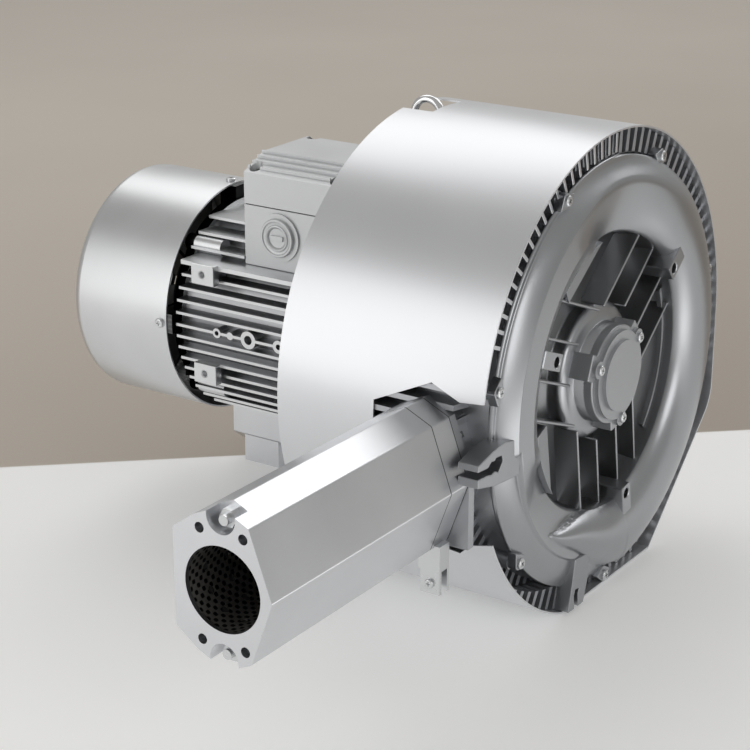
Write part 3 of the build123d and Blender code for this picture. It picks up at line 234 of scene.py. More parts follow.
def motor_metal():
    """Silver casting with painted shade: its fin gaps are painted dark, and it is painted black in
    the gap between the frame and its cowl."""
    material = cast_metal("motor_silver", (0.70, 0.71, 0.72), 0.36, bump=0.08)
    tree, cast_color, base_color = color_sockets(material)
    _, y, z, radius = shaft_coordinates(tree)
    # Painted shade: the fin gaps low on the frame darkened, and everything inside the cowl's gap
    # painted black
    fin_gap_shade = product(tree, range_node(tree, radius, *FIN_GAP_RADIUS),
                      range_node(tree, z, *FIN_GAP_HEIGHT))
    color = mix_color(tree, fin_gap_shade, cast_color, FIN_GAP_PAINTED_SHADE)
    cowl_gap_shade = product(tree, range_node(tree, y, *COWL_GAP_FRONT),
                       range_node(tree, y, *COWL_GAP_BACK),
                       range_node(tree, radius, *COWL_GAP_RADIUS))
    tree.links.new(mix_color(tree, cowl_gap_shade, color, COWL_GAP_PAINTED_SHADE), base_color)
    return material


# The intake silencer's axis in y and z
TUBE_AXIS = (0.0525, -0.0305)
# Waves in a full turn, radians in a metre along the tube, and the wave heights at a hole's edge
HOLE_WAVES = 26.0
HOLE_PITCH = 760.0
HOLE_EDGE = (0.1, 0.35)
HOLE_COLOR = (0.015, 0.015, 0.015, 1)


def tube_metal():
    """Dark perforated tube: rows of holes round the intake silencer's axis show black, where the
    product of a wave round the tube and one along it is high."""
    material = cast_metal("perforated_tube", (0.40, 0.39, 0.37), 0.5)
    tree, cast_color, base_color = color_sockets(material)
    x, y, z, _ = shaft_coordinates(tree)
    turn = math_node(tree, "ARCTAN2", math_node(tree, "SUBTRACT", z, TUBE_AXIS[1]),
                     math_node(tree, "SUBTRACT", y, TUBE_AXIS[0]))
    round_waves = math_node(tree, "SINE", product(tree, turn, HOLE_WAVES))
    long_waves = math_node(tree, "SINE", product(tree, x, HOLE_PITCH))
    holes = range_node(tree, product(tree, round_waves, long_waves), *HOLE_EDGE)
    tree.links.new(mix_color(tree, holes, cast_color, HOLE_COLOR), base_color)
    return material


# Painted shade in the cover's recess: the radii of its wall and hub and the depth over which it
# comes in, and its colours on the floor and on the upright sides
RECESS_WALL = (0.1222, 0.1208)
RECESS_HUB = (0.059, 0.0602)
RECESS_DEPTH = (0.015, 0.024)
RECESS_FLOOR_PAINTED_SHADE = (0.2, 0.205, 0.21, 1)
RECESS_SIDE_PAINTED_SHADE = (0.40, 0.405, 0.415, 1)
# The part of a face's normal along y, from a slope to an upright side
UPRIGHT_FACING = (0.6, 0.25)


def cover_metal():
    """Blasted casting with painted shade in its recess: its floor and all its upright sides are
    darkened.
    """
    material = cast_metal("blasted_cover", (0.42, 0.43, 0.445), 0.32, bump=0.12)
    tree, cast_color, base_color = color_sockets(material)
    _, y, _, radius = shaft_coordinates(tree)
    inside = product(tree, range_node(tree, radius, *RECESS_WALL),
                     range_node(tree, radius, *RECESS_HUB))
    deep = range_node(tree, y, *RECESS_DEPTH)
    coords = tree.nodes.new("ShaderNodeTexCoord")
    facing = tree.nodes.new("ShaderNodeSeparateXYZ")
    tree.links.new(coords.outputs["Normal"], facing.inputs[0])
    upright = range_node(tree, math_node(tree, "ABSOLUTE", facing.outputs[1]), *UPRIGHT_FACING)
    # Painted shade over the recess floor and its upright sides
    dark = product(tree, inside, math_node(tree, "MAXIMUM", deep, upright))
    shade = mix_color(tree, upright, RECESS_FLOOR_PAINTED_SHADE, RECESS_SIDE_PAINTED_SHADE)
    tree.links.new(mix_color(tree, dark, cast_color, shade), base_color)
    return material


MATERIALS = {
    "cast_grey": cover_metal(),
    "cast_hub": cast_metal("hub_casting", (0.46, 0.47, 0.485), 0.42, metal=0.7, bump=0.12),
    # A darker copy of the cover's casting: painted shade on the pocket webs and the lugs
    "cast_shade": cast_metal("shaded_casting", (0.40, 0.41, 0.425), 0.42, bump=0.12),
    "cast_dark": cast_metal("raw_casing", (0.46, 0.47, 0.49), 0.46, bump=0.1),
    "cast_bright": cast_metal("silencer_casting", (0.72, 0.73, 0.75), 0.33, grain=400.0,
                              bump=0.06),
    "sheet": cast_metal("shroud_sheet", (0.74, 0.75, 0.77), 0.34, metal=0.8, grain=1400.0,
                        bump=0.03, mottle=0.03),
    "motor_silver": motor_metal(),
    "light_grey": cast_metal("box_paint", (0.66, 0.67, 0.68), 0.45, metal=0.6, bump=0.06),
    "machined": cast_metal("machined_face", (0.72, 0.72, 0.72), 0.3),
    "zinc": cast_metal("zinc_screws", (0.68, 0.69, 0.70), 0.28, grain=2000.0),
    "bright_steel": cast_metal("polished_steel", (0.78, 0.78, 0.79), 0.14, grain=2000.0,
                               bump=0.02),
    "steel": cast_metal("turned_steel", (0.50, 0.51, 0.53), 0.3),
    "dark_steel": tube_metal(),
    "black_tube": cast_metal("black_tube", (0.06, 0.06, 0.06), 0.45),
    "lamination": cast_metal("stacked_sheet", (0.28, 0.29, 0.30), 0.45),
    "copper": cast_metal("copper_wire", (0.62, 0.30, 0.14), 0.35),
    "bronze": cast_metal("bronze_ring", (0.50, 0.38, 0.2), 0.35),
    "foam": cast_metal("foam", (0.02, 0.02, 0.02), 0.9, metal=0.0, grain=300.0, bump=0.5),
    "gasket": cast_metal("gasket_sheet", (0.04, 0.04, 0.04), 0.7, metal=0.0),
    "rubber": cast_metal("black_rubber", (0.03, 0.03, 0.03), 0.6, metal=0.0),
    "black_plastic": cast_metal("black_plastic", (0.04, 0.04, 0.045), 0.45, metal=0.0),
}

# Nodes whose finish isn't the one of their slot
OWN_FINISH = {"bearing_cap": "cast_hub", "outlet_tube": "black_tube"}


def dress_nodes():
    """Give every solid of the frame its finish."""
    for part in frame["record"]["subparts"]:
        mesh = nodes[part["node"]].data
        mesh.materials.clear()
        mesh.materials.append(MATERIALS[OWN_FINISH.get(part["node"], part["material_slot"])])


dress_nodes()


# Mesh helpers. A shape is its points and its faces.

BEVEL_SEGMENTS = 2
BEVEL_ANGLE = math.radians(35)


def new_piece(name, shape, material, smooth=True, bevel=0.0, body="housing"):
    """A mesh object from a shape, riding on a body, with its edges rounded by the bevel."""
    points, faces = shape
    mesh = bpy.data.meshes.new(name)
    mesh.from_pydata(place(points).tolist(), [], [list(map(int, face)) for face in faces])
    mesh.polygons.foreach_set("use_smooth", np.full(len(mesh.polygons), smooth))
    mesh.materials.append(MATERIALS[material])
    mesh.validate()
    piece = bpy.data.objects.new(name, mesh)
    bpy.context.scene.collection.objects.link(piece)
    if bevel:
        cut = piece.modifiers.new("edges", "BEVEL")
        cut.width = bevel * MM
        cut.segments = BEVEL_SEGMENTS
        cut.limit_method = "ANGLE"
        cut.angle_limit = BEVEL_ANGLE
        cut.harden_normals = True
    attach(piece, body)
    return piece


def grid_quads(rows, columns, wrap=True):
    """Quads of a grid of points counted row by row, closed round each row if wrap is set."""
    row = np.arange(rows - 1)[:, None]
    column = np.arange(columns if wrap else columns - 1)[None, :]
    following = (column + 1) % columns
    quads = np.stack([row * columns + column, row * columns + following,
                      (row + 1) * columns + following, (row + 1) * columns + column], -1)
    return quads.reshape(-1, 4)


def polar(radius, degrees, y):
    """Points at a radius and angle about the shaft; the angle runs from +X towards +Z."""
    angle = np.radians(degrees)
    return np.stack(np.broadcast_arrays(radius * np.cos(angle), y, radius * np.sin(angle)), -1)


def polar_rows(section, degrees):
    """One ring or arc of points for each radius and height of a section."""
    count = len(degrees)
    return np.array([polar(np.full(count, r), degrees, np.full(count, y)) for r, y in section])


def prism(outline, low, high):
    """A straight bar along y from an outline of (x, z) points."""
    outline = np.asarray(outline, float)
    n = len(outline)
    ends = [np.column_stack([outline[:, 0], np.full(n, y), outline[:, 1]]) for y in (low, high)]
    ring = np.arange(n)
    following = (ring + 1) % n
    sides = np.stack([ring, following, following + n, ring + n], -1).tolist()
    return np.concatenate(ends), [list(ring[::-1])] + sides + [list(ring + n)]


def box_outline(x, z):
    """Outline of a rectangle between the two values of x and the two of z."""
    return [(x[0], z[0]), (x[1], z[0]), (x[1], z[1]), (x[0], z[1])]


def rounded_box(x, z, radius, per_corner):
    """Outline of such a rectangle with an arc in each corner: the arc's centre plus the radius
    times the cosine and sine of the angle."""
    quarters = [np.linspace(k * 90, k * 90 + 90, per_corner) for k in range(4)]
    a = np.radians(np.concatenate(quarters))
    centre_x = np.repeat([x[1] - radius, x[0] + radius, x[0] + radius, x[1] - radius], per_corner)
    centre_z = np.repeat([z[1] - radius, z[1] - radius, z[0] + radius, z[0] + radius], per_corner)
    return np.column_stack([centre_x + radius * np.cos(a), centre_z + radius * np.sin(a)])


def divided(outline, step):
    """The outline with points added so that none are farther apart than the step."""
    points = []
    for a, b in zip(outline, np.roll(outline, -1, axis=0)):
        parts = max(1, math.ceil(np.linalg.norm(b - a) / step))
        points += [a + (b - a) * k / parts for k in range(parts)]
    return np.array(points)


# Spacing of the points on a pierced block's outline, the height and inset of its rim's chamfer,
# the chamfer of its hole, and the radius at which the hole's floor closes
OUTLINE_STEP = 1.5
RIM_CHAMFER = 0.8
RIM_INSET = 0.965
HOLE_CHAMFER = 0.7
HOLE_CENTRE = 0.05


def pierced_block(outline, centre, hole_r, low, high, depth):
    """A straight bar with a blind round hole in its low face, as rings that run from the outer
    foot over the rim into the hole and close on its floor."""
    outline = divided(np.asarray(outline, float), OUTLINE_STEP)
    centre = np.asarray(centre)
    away = outline - centre
    unit = away / np.linalg.norm(away, axis=1)[:, None]
    rings = [(outline, high),
             (outline, low + RIM_CHAMFER),
             (centre + away * RIM_INSET, low),
             (centre + unit * (hole_r + HOLE_CHAMFER), low),
             (centre + unit * hole_r, low + HOLE_CHAMFER),
             (centre + unit * hole_r, low + depth),
             (centre + unit * HOLE_CENTRE, low + depth)]
    points = np.concatenate([np.column_stack([r[:, 0], np.full(len(r), y), r[:, 1]])
                             for r, y in rings])
    quads = grid_quads(len(rings), len(outline)).tolist()
    last = (len(rings) - 1) * len(outline)
    return points, quads + [list(range(last, last + len(outline)))]


def turned(shape, degrees):
    """The shape turned about the shaft, from +X towards +Z."""
    points, faces = shape
    a = math.radians(degrees)
    x, y, z = points.T
    around = [x * math.cos(a) - z * math.sin(a), y, x * math.sin(a) + z * math.cos(a)]
    return np.column_stack(around), faces


def joined(shapes):
    """One shape from several."""
    all_points, all_faces, start = [], [], 0
    for points, faces in shapes:
        all_points.append(points)
        all_faces += [[i + start for i in face] for face in faces]
        start += len(points)
    return np.concatenate(all_points), all_faces


# Curves

def smooth_step(value, low, high):
    """0 up to low, 1 from high on, and 3t^2 - 2t^3 between them, where t runs from 0 to 1. Low may
    be the larger of the two."""
    t = np.clip((value - low) / (high - low), 0, 1)
    return t * t * (3 - 2 * t)


def mixed(a, b, weight):
    """a at weight 0 and b at weight 1."""
    return a + (b - a) * weight


def soft_min(a, b, width):
    """The smaller of two heights, rounded where they meet within the width."""
    t = np.clip(0.5 + 0.5 * (b - a) / width, 0, 1)
    return b + (a - b) * t - width * t * (1 - t)


GENTLE_STEPS = np.linspace(-5.0, 5.0, 9)


def gentle(value, at, level):
    """A line through points with its corners rounded off: the mean of it at nearby places."""
    return np.mean([np.interp(value + step, at, level) for step in GENTLE_STEPS], axis=0)


# A height behind everything, for places that a form doesn't reach
NOWHERE = 60.0


def arch(radius, centre, half, foot, height, power=0.5):
    """An arch across the channel: foot at its sides, raised by height at its centre. With s
    running from -1 to 1 across it, it stands height * (1 - s^2)^power high; 0.5 is half an
    ellipse."""
    s = np.clip((radius - centre) / half, -1, 1)
    within = np.abs((radius - centre) / half) < 1
    return np.where(within, foot - height * (1 - s * s) ** power, NOWHERE)


# Front cover. Angles are degrees from +X towards +Z, up to 360 for the land and its edges. A
# smaller y is nearer to the viewer of the cover, so a form with a lower height stands further out.

RECESS_R = 121.0
RECESS_FLOOR = 28.0
STEP_R = 162.0
SHOULDER_R = 167.0
GROOVE_R = 184.5
RIM_R = 188.0
RIM_Y = 4.0
RIM_FALL = 2.0
RIM_FADE = (RIM_R - 1.5, RIM_R)
# Kept between two edges where they would meet, so that nothing is divided by zero
LEAST_WIDTH = 0.5
COVER_BACK = 8.0
SHELF_Y = 1.7

# Where the flat shelf on the left starts and ends
SHELF_START = (92.0, 122.0)
SHELF_END = (190.0, 210.0)
# The land's inner edge, the height there and its rise outwards, on the cone and on the shelf
LAND_EDGE_R = (119.5, 143.0)
LAND_EDGE_Y = (8.0, -8.0)
LAND_RISE = (-13.0, 0.0)
LAND_REACH = 1.2
# Fall of the rounded edge at the recess, the radii it fades over, and how much the shelf loses
EDGE_FALL = 2.0
EDGE_FADE = (RECESS_R - 1, RECESS_R + 2.5)
EDGE_ON_SHELF = 0.7

# The duct's shoulder: how far it stands proud of the land, how much of its section is straight and
# how much round, the power of its section at its upper end, the angles over which the one section
# turns into the other, and those over which it takes over from the land
SHOULDER_PROUD = 1.0
SHOULDER_STRAIGHT = 0.62
SHOULDER_ROUND = 0.38
SHOULDER_POWER = 1.6
SHOULDER_BLEND = (124.0, 146.0)
SHOULDER_START = (96.0, 120.0)

# The stepped band at the lower left
BAND_Y = -2.4
BAND_FALL = 6.5
BAND_POWER = 2.2
BAND_STEP = 1.6
BAND_START = (186.0, 188.5)

# The channel's arch, and the angles over which it rises out of the land
CREST_R = 154.0
MAIN_HALF = 33.2
MAIN_HEIGHT = 19.0
MAIN_FOOT = 3.0
MAIN_START = (92.0, 46.0)
MAIN_LIMIT = 95.0

# The horn at the arch's lower end, by the angle below +X
HORN_FROM = 84.0
HORN_TO = 131.5
HORN_INNER = ((84.0, 93.0, 102.6, 112.0, 118.0, 123.0, 131.5),
              (118.8, 119.5, 119.7, 124.0, 130.0, 138.0, 153.0))
HORN_OUTER = ((84.0, 104.0, 112.0, 131.5), (CREST_R + MAIN_HALF, 166.0, 156.5, 153.4))
HORN_CREST = ((84.0, 100.0, 112.0, 122.0, 131.5), (MAIN_HEIGHT, 17.0, 12.0, 7.0, 0.5))
HORN_FOOT = ((84.0, 104.0, 131.5), (MAIN_FOOT, 1.0, -2.5))
HORN_POWER = ((84.0, 96.0), (0.5, 0.85))
# Where the horn opens into the arch, and the rounding where it meets the land
HORN_OPENING = (104.0, 88.0)
HORN_ROUNDING = 1.2
HORN_OPEN_ROUNDING = 5


def cover_land(radius, turn):
    """Height of the front where no arch stands: the land, then the shoulder of the intake duct on
    the left and the stepped band at the lower left, each mixed in over a range of angles."""
    left = smooth_step(turn, *SHELF_START) * (1 - smooth_step(turn, *SHELF_END))
    edge_r = mixed(*LAND_EDGE_R, left)
    edge_y = mixed(*LAND_EDGE_Y, left)
    outward = np.clip((radius - edge_r) / (STEP_R - edge_r), 0, LAND_REACH)
    land = edge_y + mixed(*LAND_RISE, left) * outward
    inward = np.clip((edge_r - radius) / np.maximum(edge_r - RECESS_R, LEAST_WIDTH), 0, 1)
    land = land + (SHELF_Y - edge_y) * inward * left
    round_edge = EDGE_FALL * (1 - smooth_step(radius, *EDGE_FADE)) * (1 - EDGE_ON_SHELF * left)

    across = np.clip((radius - SHOULDER_R) / (GROOVE_R - SHOULDER_R), 0, 1)
    fall = SHOULDER_STRAIGHT * across + SHOULDER_ROUND * (1 - np.sqrt(1 - across * across))
    fall = mixed(across ** SHOULDER_POWER, fall, smooth_step(turn, *SHOULDER_BLEND))
    shoulder = np.where(radius < SHOULDER_R, land, mixed(land - SHOULDER_PROUD, RIM_Y, fall))

    over_band = np.clip((radius - STEP_R) / (RIM_R - STEP_R), 0, 1)
    band = mixed(land, BAND_Y + BAND_FALL * over_band ** BAND_POWER,
                 smooth_step(radius, STEP_R, STEP_R + BAND_STEP))
    band = np.where(radius < STEP_R, land, band)

    outer_land = mixed(land, RIM_Y, smooth_step(radius, STEP_R, GROOVE_R))
    outer_land = np.where(radius < STEP_R, land, outer_land)
    height = mixed(outer_land, shoulder, smooth_step(turn, *SHOULDER_START))
    return mixed(height, band, smooth_step(turn, *BAND_START)) + round_edge


def cover_horn(radius, below):
    """The horn: an arch whose sides, crest, foot and power follow the angle below +X."""
    inner = gentle(below, *HORN_INNER)
    outer = gentle(below, *HORN_OUTER)
    crest = gentle(below, *HORN_CREST)
    foot = np.interp(below, *HORN_FOOT)
    power = np.interp(below, *HORN_POWER)
    half = np.maximum(outer - inner, LEAST_WIDTH) / 2
    return arch(radius, (inner + outer) / 2, half, foot, crest, power)


def cover_height(radius, degrees):
    """Height of the cover's front: the land with its duct and band, the channel's wide arch over
    the right-hand side, and the horn at the arch's lower end. The form that stands further out
    wins, softly at the horn, and a rim closes the edge."""
    quiet = cover_land(radius, np.mod(degrees, 360.0))
    below = -degrees
    main = arch(radius, CREST_R, MAIN_HALF, MAIN_FOOT, MAIN_HEIGHT)
    from_top = mixed(quiet, main, smooth_step(degrees, *MAIN_START))
    rounding = HORN_ROUNDING + HORN_OPEN_ROUNDING * smooth_step(below, *HORN_OPENING)
    at_bottom = soft_min(quiet, cover_horn(radius, below), rounding)
    height = np.where(degrees > 0, from_top, np.where(below < HORN_FROM, main, at_bottom))
    height = np.where((degrees > MAIN_LIMIT) | (below > HORN_TO), quiet, height)
    rim = RIM_Y + RIM_FALL * smooth_step(radius, *RIM_FADE)
    return np.minimum(height, np.where(radius > GROOVE_R, np.maximum(rim, height), NOWHERE))


# Radius and height of the cover's section, from the bearing bore over the hub to the recess wall
HUB_SECTION = ((40.0, -5.9), (42.6, -6.0), (43.0, -5.6), (43.4, 10.6), (44.2, 11.4),
               (52.0, 12.6), (56.0, 13.4), (58.6, 14.6), (60.0, 16.6), (60.4, 19.0),
               (60.6, RECESS_FLOOR - 2), (62.0, RECESS_FLOOR), (117.5, RECESS_FLOOR),
               (119.0, RECESS_FLOOR - 1.5), (120.6, 12.0))
# And from the rim back to the bore
BACK_SECTION = ((RIM_R + 0.6, RIM_Y + 2.4), (RIM_R + 0.6, COVER_BACK), (126.0, COVER_BACK),
                (126.0, RECESS_FLOOR + 5), (31.0, RECESS_FLOOR + 5), (31.0, -5.8))
COVER_TURNS = 640
COVER_ROWS = 118


def cover_skin():
    """The turned skin of the cover, front and back in one closed surface. Its section runs from
    the bearing bore over the hub and the recess to the rim and back; the channel part takes
    cover_height, on rows that lie closer together at both ends by a cosine."""
    s = np.linspace(0, 1, COVER_ROWS)
    front_r = RECESS_R + (RIM_R - RECESS_R) * (0.5 - 0.5 * np.cos(math.pi * s))
    degrees = np.linspace(-180, 180, COVER_TURNS, endpoint=False)
    radius, angle = np.meshgrid(front_r, degrees, indexing="ij")
    front = polar(radius, angle, cover_height(radius, angle))
    rows = np.concatenate([polar_rows(HUB_SECTION, degrees), front,
                           polar_rows(BACK_SECTION, degrees)])
    last = (rows.shape[0] - 1) * COVER_TURNS
    here = np.arange(COVER_TURNS)
    following = (here + 1) % COVER_TURNS
    closing = np.stack([last + here, last + following, following, here], -1)
    quads = np.concatenate([grid_quads(rows.shape[0], COVER_TURNS), closing])
    skin = new_piece("cover_skin", (rows.reshape(-1, 3), quads), "cast_grey")
    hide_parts("front_cover")


RIB_TURNS = (158.5, 38.5, -81.5)
RIB_OFFSETS = (-50.0, -17.5, 17.5, 50.0)
RIB_HALF = 1.3
RIB_TOP = 5.0
HUB_OUTER = 60.0
# How far ribs and webs reach into the recess wall and into its floor, and how far the ends of a
# web's straight edge may
INTO_WALL = 1.5
INTO_FLOOR = 1
EDGE_INTO_WALL = 0.5


def cover_ribs():
    """Thin bars from the hub ring to the recess wall, in three sets of four."""
    ribs = []
    for angle in RIB_TURNS:
        for offset in RIB_OFFSETS:
            start = math.sqrt(HUB_OUTER ** 2 - offset ** 2)
            end = math.sqrt((RECESS_R + INTO_WALL) ** 2 - offset ** 2)
            outline = box_outline((start, end), (offset - RIB_HALF, offset + RIB_HALF))
            ribs.append(turned(prism(outline, RIB_TOP, RECESS_FLOOR + INTO_FLOOR), angle))
    new_piece("cover_ribs", joined(ribs), "cast_grey", bevel=1.0)


BOSS_R = 116.0
BOSS_FROM = 108.5
BOSS_TO = 139.0
BOSS_HALF = 7.5
BOSS_CORNER = 1.2
BOSS_CORNER_POINTS = 6
BOSS_TOPS = (-8.0, -12.5, -12.5)
BOSS_HOLE_R = 4.6
BOSS_HOLE_DEPTH = 16


def cover_bosses():
    """Three square bosses with a hole, between the middle ribs of each set."""
    outline = rounded_box((BOSS_FROM, BOSS_TO), (-BOSS_HALF, BOSS_HALF), BOSS_CORNER,
                          BOSS_CORNER_POINTS)
    bosses = [turned(pierced_block(outline, (BOSS_R, 0.0), BOSS_HOLE_R, top,
                                   RECESS_FLOOR + INTO_FLOOR, BOSS_HOLE_DEPTH), angle)
              for angle, top in zip(RIB_TURNS, BOSS_TOPS)]
    new_piece("cover_bosses", joined(bosses), "cast_grey", smooth=False)


# First and last angle of the arc and the angle and distance of the straight edge
POCKET_WEBS = ((99.3, 131.0, 128.5, 106.5), (189.5, 221.0, 188.5, 102.0))
WEB_TOP = 0.6
WEB_ARC_POINTS = 14
# How far the straight edge stands back of the arc
WEB_LEAN = 3.0


def pocket_webs():
    """Raised corners of the recess on the left, each between the wall's arc and a straight edge
    that runs along the nearest ribs. A point of that edge stands at the edge's distance over the
    cosine of the angle from its normal."""
    webs = []
    for first, last, facing, reach in POCKET_WEBS:
        arc = np.radians(np.linspace(first, last, WEB_ARC_POINTS))
        ends = np.radians(np.array([last, first]))
        edge = reach / np.cos(ends - math.radians(facing))
        r = np.concatenate([np.full(WEB_ARC_POINTS, RECESS_R + INTO_WALL),
                            np.minimum(edge, RECESS_R + EDGE_INTO_WALL)])
        a = np.concatenate([arc, ends])
        outline = np.column_stack([r * np.cos(a), r * np.sin(a)])
        points, faces = prism(outline, WEB_TOP, RECESS_FLOOR + INTO_FLOOR)
        # The straight edge's two points at the top, and most of the foot, which the floor hides
        points[WEB_ARC_POINTS:2 * WEB_ARC_POINTS, 1] += WEB_LEAN
        webs.append((points, faces))
    # The webs take the darker copy of the casting: painted shade
    new_piece("pocket_webs", joined(webs), "cast_shade", smooth=False, bevel=0.8)


EARS = 7
EAR_R = 191.0
EAR_TURN = 65.3
EAR_TOP = -0.6
# Outwards from the screw and along the rim
EAR_DIAMOND = ((-9.0, 0.0), (-2.0, -12.0), (6.2, -1.5), (6.2, 1.5), (-2.0, 12.0))


def cover_ears():
    """Diamond pads on the rim, one under each cover screw."""
    ear = prism([(EAR_R + out, side) for out, side in EAR_DIAMOND], EAR_TOP, COVER_BACK)
    ears = [turned(ear, EAR_TURN + k * 360.0 / EARS) for k in range(EARS)]
    new_piece("cover_ears", joined(ears), "cast_grey", bevel=0.8)


CAP_SCREW_TURNS = (38.0, 158.0, 278.0)
NECK_R = 43.2
NECK_TOP = -6.1
NECK_POINTS = 96
CAP_BLOCK = ((30.0, 50.0), (-11.5, 11.5))
CAP_BLOCK_TOP = -6.2
HUB_FOOT = 20.0


def hub_blocks():
    """Bearing housing under the cap: a round neck with three square blocks at the cap screws."""
    arc = np.radians(np.linspace(0, 360, NECK_POINTS + 1)[:-1])
    neck = np.column_stack([NECK_R * np.cos(arc), NECK_R * np.sin(arc)])
    block = prism(box_outline(*CAP_BLOCK), CAP_BLOCK_TOP, HUB_FOOT)
    blocks = [turned(block, turn) for turn in CAP_SCREW_TURNS]
    new_piece("hub_blocks", joined([prism(neck, NECK_TOP, HUB_FOOT)] + blocks), "cast_hub",
              bevel=1.2)


LUG_TOP = -6.6
LUG_FOOT = 12.0
LEFT_LUG = ((-158.0, -6.0), (-186.0, -1.0), (-204.0, -3.0), (-226.0, -8.0), (-226.0, -13.5),
            (-211.0, -14.5), (-206.0, -11.0), (-201.0, -12.0), (-199.0, -10.0),
            (-190.0, -11.0), (-188.5, -16.0), (-195.0, -23.0), (-200.0, -20.5),
            (-206.0, -22.0), (-210.0, -20.5), (-226.0, -19.5), (-226.0, -27.0),
            (-199.0, -33.5), (-163.0, -36.5))
LOWER_LUG = ((-62.0, -150.0), (-39.0, -152.0), (-36.0, -170.0), (-45.0, -196.5),
             (-54.0, -197.0), (-55.0, -184.0), (-53.0, -180.0), (-60.0, -179.0),
             (-62.0, -184.0), (-60.5, -197.0), (-72.0, -196.5), (-66.0, -172.0))


def cover_lugs():
    """Two clamping lugs at the rim, each a flat plate with a stepped slot."""
    lugs = [prism(outline[::-1], LUG_TOP, LUG_FOOT) for outline in (LEFT_LUG, LOWER_LUG)]
    # The lugs take the darker copy of the casting: painted shade
    new_piece("cover_lugs", joined(lugs), "cast_shade", bevel=0.9)


# Fins round the casing, the range of angles where their front ends show, and one fin's section
EDGE_FINS = 98
EDGE_FINS_FROM = 88.0
EDGE_FINS_TO = 158.0
EDGE_FIN = ((190.5, 207.0), (-1.7, 1.7))
EDGE_FIN_FRONT = 5.0
EDGE_FIN_BACK = 34.0


def edge_fins():
    """Front ends of the casing's fins in the gap at the upper left, between the shroud and the
    cover."""
    fin = prism(box_outline(*EDGE_FIN), EDGE_FIN_FRONT, EDGE_FIN_BACK)
    turns = [k * 360.0 / EDGE_FINS for k in range(EDGE_FINS)]
    fins = [turned(fin, turn) for turn in turns if EDGE_FINS_FROM < turn < EDGE_FINS_TO]
    # The fins take the silencer's lighter casting rather than the casing's own: painted light on
    # their front ends
    new_piece("edge_fins", joined(fins), "cast_bright", smooth=False, bevel=0.4)


# Radius and height of the ledge's section, from its foot over two thin lips to the wall
LEDGE = ((115.2, 13.0), (115.2, 8.6), (115.5, 8.0), (116.1, 8.0), (116.4, 9.6), (120.4, 9.6),
         (120.7, 8.0), (121.6, 8.0), (122.5, 8.6), (122.5, 13.0))
LEDGE_TURNS = (-42.0, 22.0)
LEDGE_POINTS = 48


def recess_ledge():
    """Thin ledge along the right-hand side of the recess wall, with a lip at each edge: its
    section carried along an arc, with the back and both ends closed."""
    count = LEDGE_POINTS
    points = polar_rows(LEDGE, np.linspace(*LEDGE_TURNS, count)).reshape(-1, 3)
    last = len(LEDGE) - 1
    back = [[k, k + 1, last * count + k + 1, last * count + k] for k in range(count - 1)]
    ends = [[row * count for row in range(last + 1)],
            [row * count + count - 1 for row in range(last, -1, -1)]]
    faces = grid_quads(last + 1, count, wrap=False).tolist() + back + ends
    new_piece("recess_ledge", (points, faces), "cast_grey", smooth=False)


# Motor frame and terminal box

# Place of each pad's hole in y and z, the pad's reach from it, its corners, and its face and foot
# in x
PADS = ((358.0, 52.5), (358.0, -41.8))
PAD_FRONT = 13.5
PAD_BACK = 12.0
PAD_HALF = 9.5
PAD_CORNER = 1.0
PAD_CORNER_POINTS = 5
PAD_FACE = -105.6
PAD_FOOT = -98.0
PAD_HOLE_R = 3.2
PAD_HOLE_DEPTH = 6.0


def frame_pads():
    """Two square pads with a tapped hole, proud of the fins on the side of the motor frame. They
    are made along y and turned to x by swapping the two, so their faces are turned round too."""
    pads = []
    for y, z in PADS:
        outline = rounded_box((y - PAD_FRONT, y + PAD_BACK), (z - PAD_HALF, z + PAD_HALF),
                              PAD_CORNER, PAD_CORNER_POINTS)
        points, faces = pierced_block(outline, (y, z), PAD_HOLE_R, PAD_FACE, PAD_FOOT,
                                      PAD_HOLE_DEPTH)
        pads.append((points[:, [1, 0, 2]], [face[::-1] for face in faces]))
    new_piece("frame_pads", joined(pads), "motor_silver", smooth=False)


PLUG_AT = (-80.0, 291.0, 91.5)
PLUG_POINTS = 72
# Radius and height of the plug's face, from its rim inwards
PLUG = ((17.6, -0.5), (17.6, 2.2), (17.0, 3.0), (15.2, 3.0), (14.6, 2.0), (12.4, 1.6),
        (11.8, 2.8), (10.6, 3.0), (9.6, 2.2), (8.8, 0.8), (0.05, 0.6))
# The raised bar: half its length, half its width, and its foot and top over the plug's centre
BAR_HALF = (6.5, 2.2)
BAR_HEIGHTS = (0.4, 2.6)
BAR_CORNERS = ((-1, -1), (1, -1), (1, 1), (-1, 1))
BAR_FACES = ((0, 1, 2, 3), (7, 6, 5, 4), (0, 4, 5, 1), (1, 5, 6, 2), (2, 6, 7, 3), (3, 7, 4, 0))


def plug_face():
    """Blanking plug in the terminal box: rings about a sunk disc with a raised bar."""
    x, y, z = PLUG_AT
    a = np.linspace(0, 2 * math.pi, PLUG_POINTS, endpoint=False)
    rings = [np.column_stack([np.full(PLUG_POINTS, x - h), y + r * np.cos(a), z + r * np.sin(a)])
             for r, h in PLUG]
    start = (len(PLUG) - 1) * PLUG_POINTS
    faces = grid_quads(len(PLUG), PLUG_POINTS).tolist()
    faces += [list(range(PLUG_POINTS))[::-1], list(range(start, start + PLUG_POINTS))]
    corners = [(x - h, y + along * BAR_HALF[0], z + up * BAR_HALF[1])
               for h in BAR_HEIGHTS for along, up in BAR_CORNERS]
    shape = joined([(np.concatenate(rings), faces), (np.array(corners), BAR_FACES)])
    plug = new_piece("plug_face", shape, "light_grey", smooth=False, bevel=0.3)
    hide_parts("blanking_plug")


cover_skin()
cover_ribs()
pocket_webs()
cover_bosses()
cover_ears()
hub_blocks()
cover_lugs()
edge_fins()
recess_ledge()
plug_face()
frame_pads()


